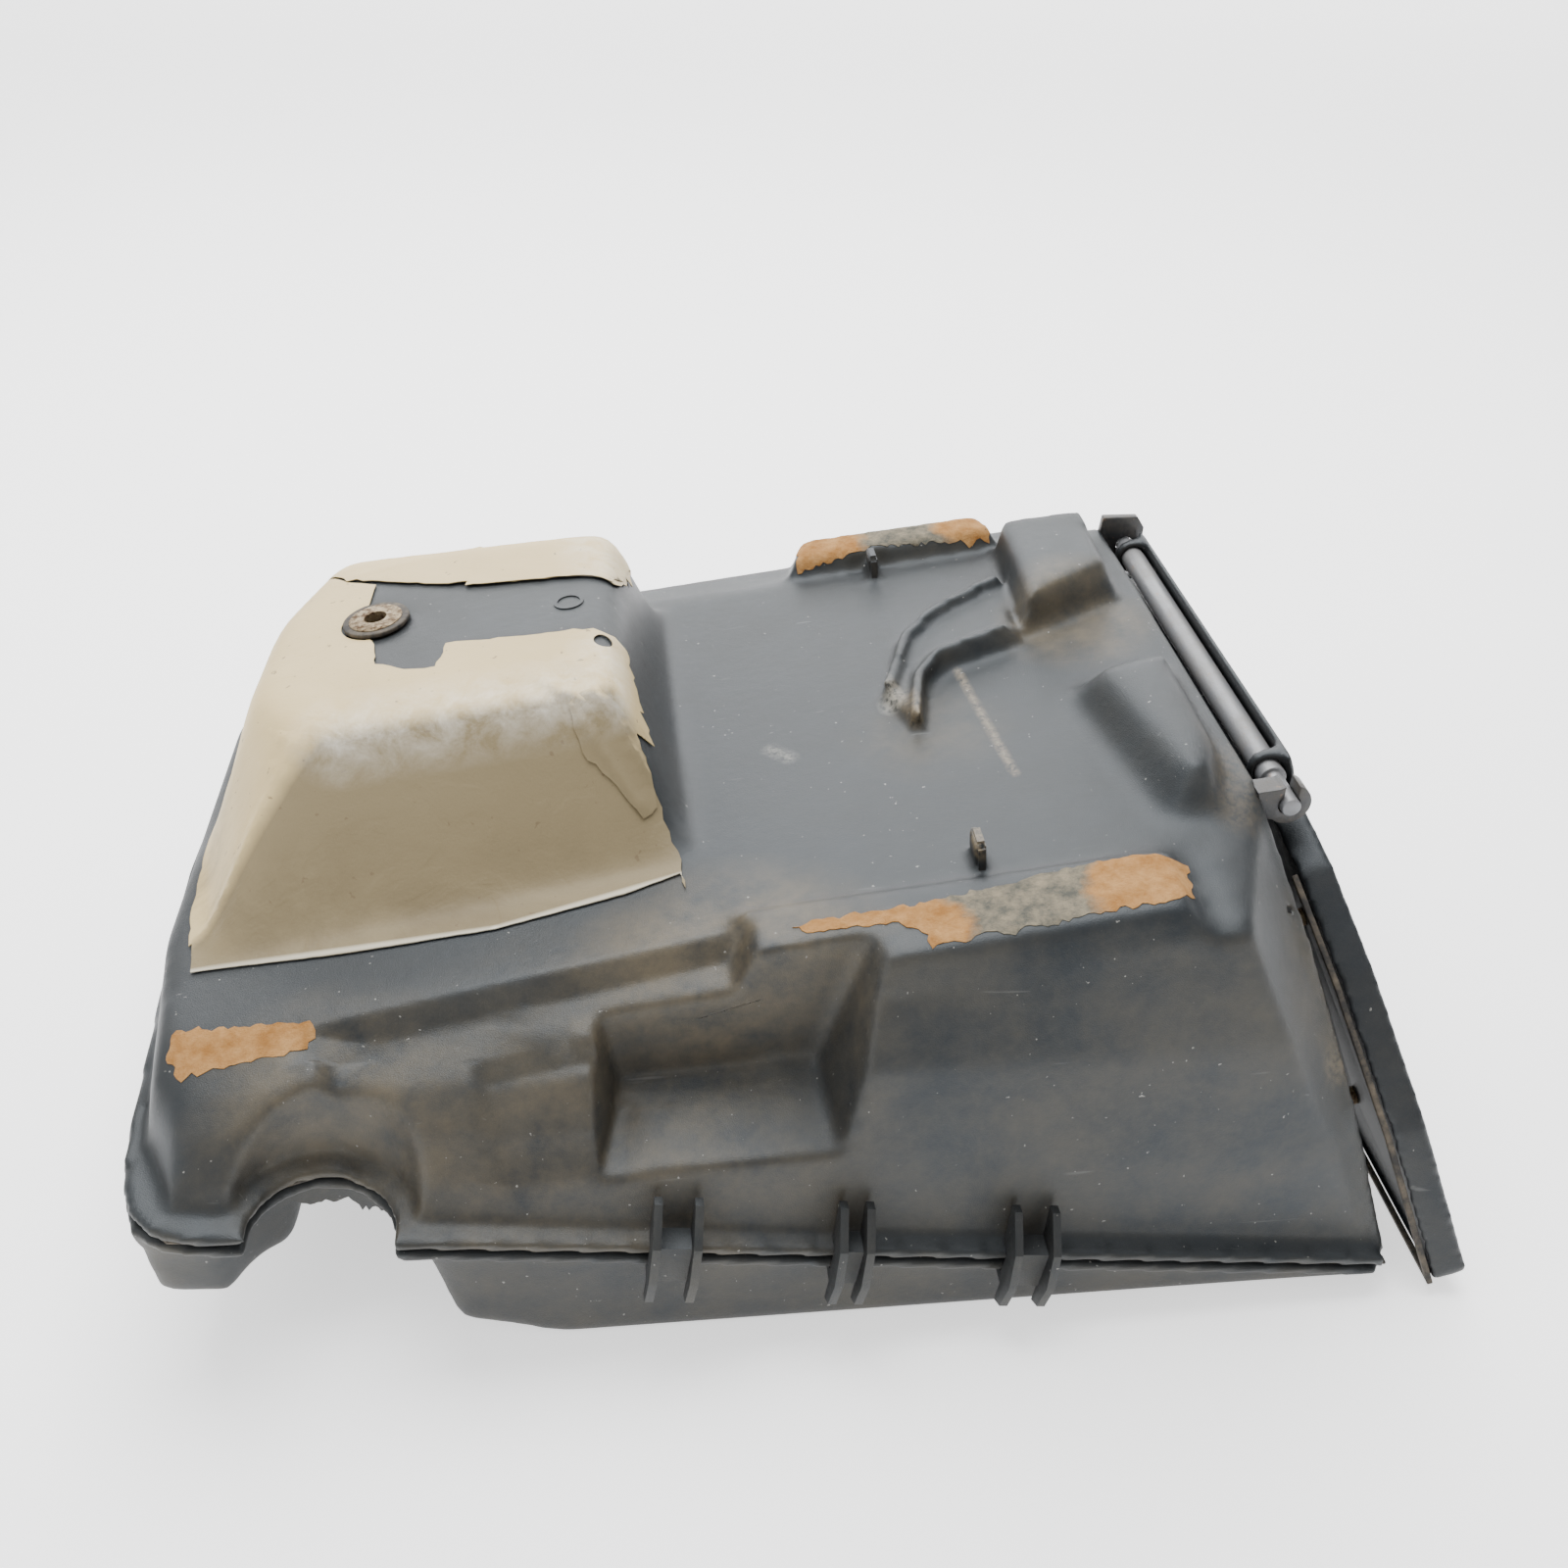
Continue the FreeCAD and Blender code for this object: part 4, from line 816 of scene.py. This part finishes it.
FRONT_OUTLINE = [
    (-193, -86), (-144, -89), (-94, -89), (-52, -82), (-33, -76), (-32, -84), (-33, -70),
    (-39, -47), (-42, -34), (-38, -30), (-41, -12), (-43, 10), (-60, 13), (-84, 15),
    (-106, 18), (-109, 2), (-120, 4), (-131, 11), (-133, 26), (-137, 32), (-139, 60),
    (-138, 74), (-150, 80), (-164, 96), (-178, 74), (-196, 60), (-199, 20), (-201, -24),
    (-197, -60),
]
REAR_OUTLINE = [
    (-164, 98), (-150, 82), (-134, 75), (-112, 66), (-92, 60), (-68, 56), (-46, 52),
    (-43, 60), (-41, 84), (-46, 104), (-56, 113), (-90, 118), (-157, 119),
]
# The torn stretches of both outlines, by the number of their first point.
FRONT_TORN, REAR_TORN = range(4, 20), range(1, 9)
TAPE_THICK, TEAR_STEP = 0.35, 3.0

grommet_hole = ring_points(-134.5, 44.0, 13.4)
small_hole = ring_points(-50, 5, 3.0, 16, 1.4)
front_edge = ragged(FRONT_OUTLINE, TEAR_STEP, 1.6, 2.0, FRONT_TORN)
front_tape = draped("heat_tape_front_skin", front_edge, TAPE, TAPE_THICK, 0.85, [grommet_hole, small_hole],
                    relief=front_relief)
lead(front_tape, "case", "heat_tape", "heat_tape_front", "heat_tape_left")
rear_edge = ragged(REAR_OUTLINE, TEAR_STEP, 1.4, 7.0, REAR_TORN)
rear_tape = draped("heat_tape_rear_skin", rear_edge, TAPE, TAPE_THICK, 1.0, relief=rear_relief)
lead(rear_tape, "case", "heat_tape", "heat_tape_rear")

FLAP_OUTLINE = [
    (-62, -30), (-52, -24), (-44, -32), (-40, -42), (-39, -54), (-43, -58), (-50, -50),
    (-60, -42),
]
FLAP_FOLDS = [
    ((-60, -32), (-43, -56), 1.1, 1.3, 0.0),
    ((-53, -26), (-41, -46), 0.9, 1.1, 0.0),
]


def flap_relief(spot):
    """Folds and wrinkles of the torn flap."""
    return sum(fold(spot, *line) for line in FLAP_FOLDS) + crumple(spot, 0.5, 0.3, 8.0)


flap_edge = ragged(FLAP_OUTLINE, 2.5, 1.6, 12.0)
torn_flap = draped("heat_tape_torn_flap", flap_edge, TAPE, TAPE_THICK, 1.5, spacing=1.4, relief=flap_relief)
lead(torn_flap, "case", "heat_tape")
OVERLAP_THICK, OVERLAP_LIFT = 0.3, 1.30
OVERLAPS = {
    "heat_tape_corner_overlap": [
        (-146, -21), (-158, -33), (-172, -47), (-186, -62), (-196, -73), (-199, -58), (-200, -34),
        (-196, -10), (-176, -8), (-158, -12),
    ],
    "heat_tape_rear_overlap": [
        (-94, 117), (-97, 98), (-99, 80), (-102, 61), (-84, 58), (-66, 55.5), (-47, 52.5),
        (-44, 61), (-42, 84), (-47, 103), (-57, 112), (-80, 115),
    ],
}
for name, plan in OVERLAPS.items():
    overlap = draped(name, ragged(plan, TEAR_STEP, 0.7, 31.0), TAPE, OVERLAP_THICK, OVERLAP_LIFT)
    lead(overlap, "case", "heat_tape")
mark_rim, mark_hole = ring_points(-62, 36, 5.6), ring_points(-62, 36, 4.2)
blind_mark = draped("blind_moulding_mark", mark_rim, UPPER_PLASTIC, 0.5, 0.45, [mark_hole], spacing=1.2)
lead(blind_mark, "case", "black_plastic")


def foam_relief(spot):
    """The crumbled surface of what is left of the foam."""
    return 0.10 * noise.noise(Vector((spot.x * 0.35, spot.y * 0.35, 1.0))) \
        + 0.12 * noise.noise(Vector((spot.x * 1.1, spot.y * 1.1, 4.0)))


FOAM_OUTLINES = {
    "foam_pad_near": [
        (40, -134), (70, -134), (96, -132), (114, -132), (121, -127), (124, -113), (110, -108),
        (92, -109), (72, -112), (48, -115), (30, -115), (8, -115), (0, -117), (6, -120.5),
        (18, -121), (30, -122), (37, -127),
    ],
    "foam_pad_rear": [
        (27, 114), (60, 117), (88, 116), (110, 114), (111, 124), (108, 132), (70, 133),
        (30, 134),
    ],
    "foam_pad_corner": [
        (-188, -130), (-172, -128), (-152, -127), (-149, -122), (-150, -117), (-172, -115), (-192, -112),
        (-194, -122),
    ],
}
FOAM_THICK, FOAM_LIFT = 0.3, 0.25
for seed, (node, outline) in enumerate(FOAM_OUTLINES.items()):
    edge = ragged(outline, 1.6, 1.8, 20.0 + seed * 3)
    skin = draped(node + "_residue", edge, FOAM, FOAM_THICK, FOAM_LIFT, spacing=1.5, relief=foam_relief)
    lead(skin, "case", "foam", node)

# ---------------------------------------------------------------- broken wall and locating tabs
NOTCH_X, NOTCH_Y, BROKEN_RADIUS, BROKEN_THICK = -145.0, -166.0, 25.5, 2.2
BROKEN_STEPS, BROKEN_ROWS = 60, 8
TAB_LENGTH, TAB_WIDTH, TAB_HEIGHT, TAB_TAPER, TAB_LEAN, TAB_MIDDLE = 3.4, 13.0, 13.0, 2.5, 0.8, 4.6


def broken_wall():
    """The lower shell's wall behind the notch, snapped off along a jagged line."""
    work = bmesh.new()
    rings = []
    for i in range(BROKEN_STEPS + 1):
        angle = math.radians(8 + 164 * i / BROKEN_STEPS)
        jag = 10 * math.sin(angle) + 5 * noise.noise(Vector((i * 0.21, 2.0, 0))) \
            + 2.4 * noise.noise(Vector((i * 0.83, 5.0, 0)))
        x, y = NOTCH_X + BROKEN_RADIUS * math.cos(angle), NOTCH_Y + BROKEN_RADIUS * math.sin(angle)
        drops = [1.0 - (4.0 + max(jag, 0.0)) * j / BROKEN_ROWS for j in range(BROKEN_ROWS + 1)]
        rings.append([work.verts.new(in_case(x, y, z)) for z in drops])
    for left, right in zip(rings, rings[1:]):
        for j in range(BROKEN_ROWS):
            work.faces.new((left[j], left[j + 1], right[j + 1], right[j]))
    mesh = bpy.data.meshes.new("broken_notch_wall")
    work.to_mesh(mesh)
    work.free()
    obj = link_new("broken_notch_wall", mesh, LOWER_PLASTIC)
    solid = obj.modifiers.new("thick", "SOLIDIFY")
    solid.thickness, solid.offset = BROKEN_THICK * MM, 0.0
    applied(obj)
    shade(obj, SKIN_ANGLE)
    lead(obj, "case", "black_plastic")


def locating_tab(name, u, y):
    """A worn upright tab with rounded edges."""
    work = bmesh.new()
    bmesh.ops.create_cube(work, size=1.0)
    bmesh.ops.bevel(work, geom=work.edges[:], offset=0.16, segments=3, affect="EDGES")
    for vertex in work.verts:
        x, across, up = vertex.co
        lean = TAB_LEAN * (up + 0.5)
        width = TAB_WIDTH - TAB_TAPER * (up + 0.5)
        vertex.co = on_deck(u + x * TAB_LENGTH + lean, y + across * width, TAB_MIDDLE + up * TAB_HEIGHT)
    mesh = bpy.data.meshes.new(name)
    work.to_mesh(mesh)
    work.free()
    obj = link_new(name, mesh, UPPER_PLASTIC)
    shade(obj)
    lead(obj, "case", "black_plastic")


broken_wall()
locating_tab("locating_tab_near", 62, -94)
locating_tab("locating_tab_far", 58, 106)

# ---------------------------------------------------------------- small fittings
# The node, material, edge radius in metres, body and slot of each fitting.
BEVELS = [
    ("seam_seal", RUBBER, 0.0002, "case", "rubber"),
    ("mount_grommet", RUBBER, 0.0006, "case", "rubber"),
    ("mount_collar", STEEL, 0.0005, "case", "steel"),
    ("hinge_hook", METAL, 0.0008, "case", "black_metal"),
    ("hinge_ear", METAL, 0.0008, "case", "black_metal"),
    ("latch_strike", METAL, 0.0005, "case", "black_metal"),
    ("lid_inner", LID_PLASTIC, 0.0006, "lid", "black_plastic"),
    ("lid_seal", RUBBER, 0.0004, "lid", "rubber"),
    ("hinge_rod", ROD_METAL, 0.0005, "lid", "black_metal"),
    ("latch_stem", METAL, 0.0003, "latch", "black_metal"),
    ("latch_knob", LID_PLASTIC, 0.0012, "latch", "black_plastic"),
    ("latch_cam", METAL, 0.0004, "latch", "black_metal"),
    ("latch_nut", STEEL, 0.0003, "latch", "steel"),
]
BEVELS += [(f"lid_screw_{k}", STEEL, 0.0003, "lid", "steel") for k in range(1, 5)]
BEVELS += [(f"seam_clip_{side}_{k}", LOWER_PLASTIC, 0.0007, "case", "black_plastic")
           for side in ("near", "far") for k in range(1, 4)]
for node, material, width, body, slot in BEVELS:
    lead(bevelled(node + "_finished", node, material, width), body, slot, node)

# ---------------------------------------------------------------- floor, light and camera
FLOOR_REACH = 14.0
WORLD_STRENGTH = 0.78
LENS, SENSOR = 35.27, 36.0
CLIP_START, CLIP_END = 0.02, 20.0
CAMERA_PLACE, CAMERA_TURN = (-0.0523, -0.4728, 0.4289), (55.078, -1.353, -5.850)

floor_mesh = bpy.data.meshes.new("pale_floor")
floor_corners = [(x * FLOOR_REACH, y * FLOOR_REACH, 0) for x, y in ((-1, -1), (1, -1), (1, 1), (-1, 1))]
floor_mesh.from_pydata(floor_corners, [], [(0, 1, 2, 3)])
floor = link_new("pale_floor", floor_mesh, floor_material())

world = bpy.data.worlds.new("studio")
bpy.context.scene.world = world
world.use_nodes = True
background = world.node_tree.nodes["Background"]
background.inputs["Color"].default_value = (1.0, 1.0, 1.0, 1.0)
background.inputs["Strength"].default_value = WORLD_STRENGTH


def area_light(name, place, aim, width, height, power):
    """A rectangular light at a place, turned to face its aim, with its sides in metres and power in watts."""
    light = bpy.data.lights.new(name, "AREA")
    light.shape, light.size, light.size_y, light.energy = "RECTANGLE", width, height, power
    obj = bpy.data.objects.new(name, light)
    bpy.context.scene.collection.objects.link(obj)
    obj.location = place
    obj.rotation_euler = (Vector(aim) - Vector(place)).to_track_quat("-Z", "Y").to_euler()


area_light("overhead", (-0.1, 0.55, 1.5), (0, 0, 0.05), 1.4, 1.4, 50)
area_light("back_wall", (0.3, 3.4, 1.35), (0, 0, 0.1), 5.6, 1.5, 140)
area_light("left_fill", (-1.3, -0.5, 0.9), (0, 0, 0.1), 0.9, 0.9, 5)

camera = bpy.data.objects.new("camera", bpy.data.cameras.new("camera"))
bpy.context.scene.collection.objects.link(camera)
camera.data.sensor_width, camera.data.lens = SENSOR, LENS
camera.data.clip_start, camera.data.clip_end = CLIP_START, CLIP_END
camera.location = CAMERA_PLACE
camera.rotation_euler = [math.radians(angle) for angle in CAMERA_TURN]
bpy.context.scene.camera = camera
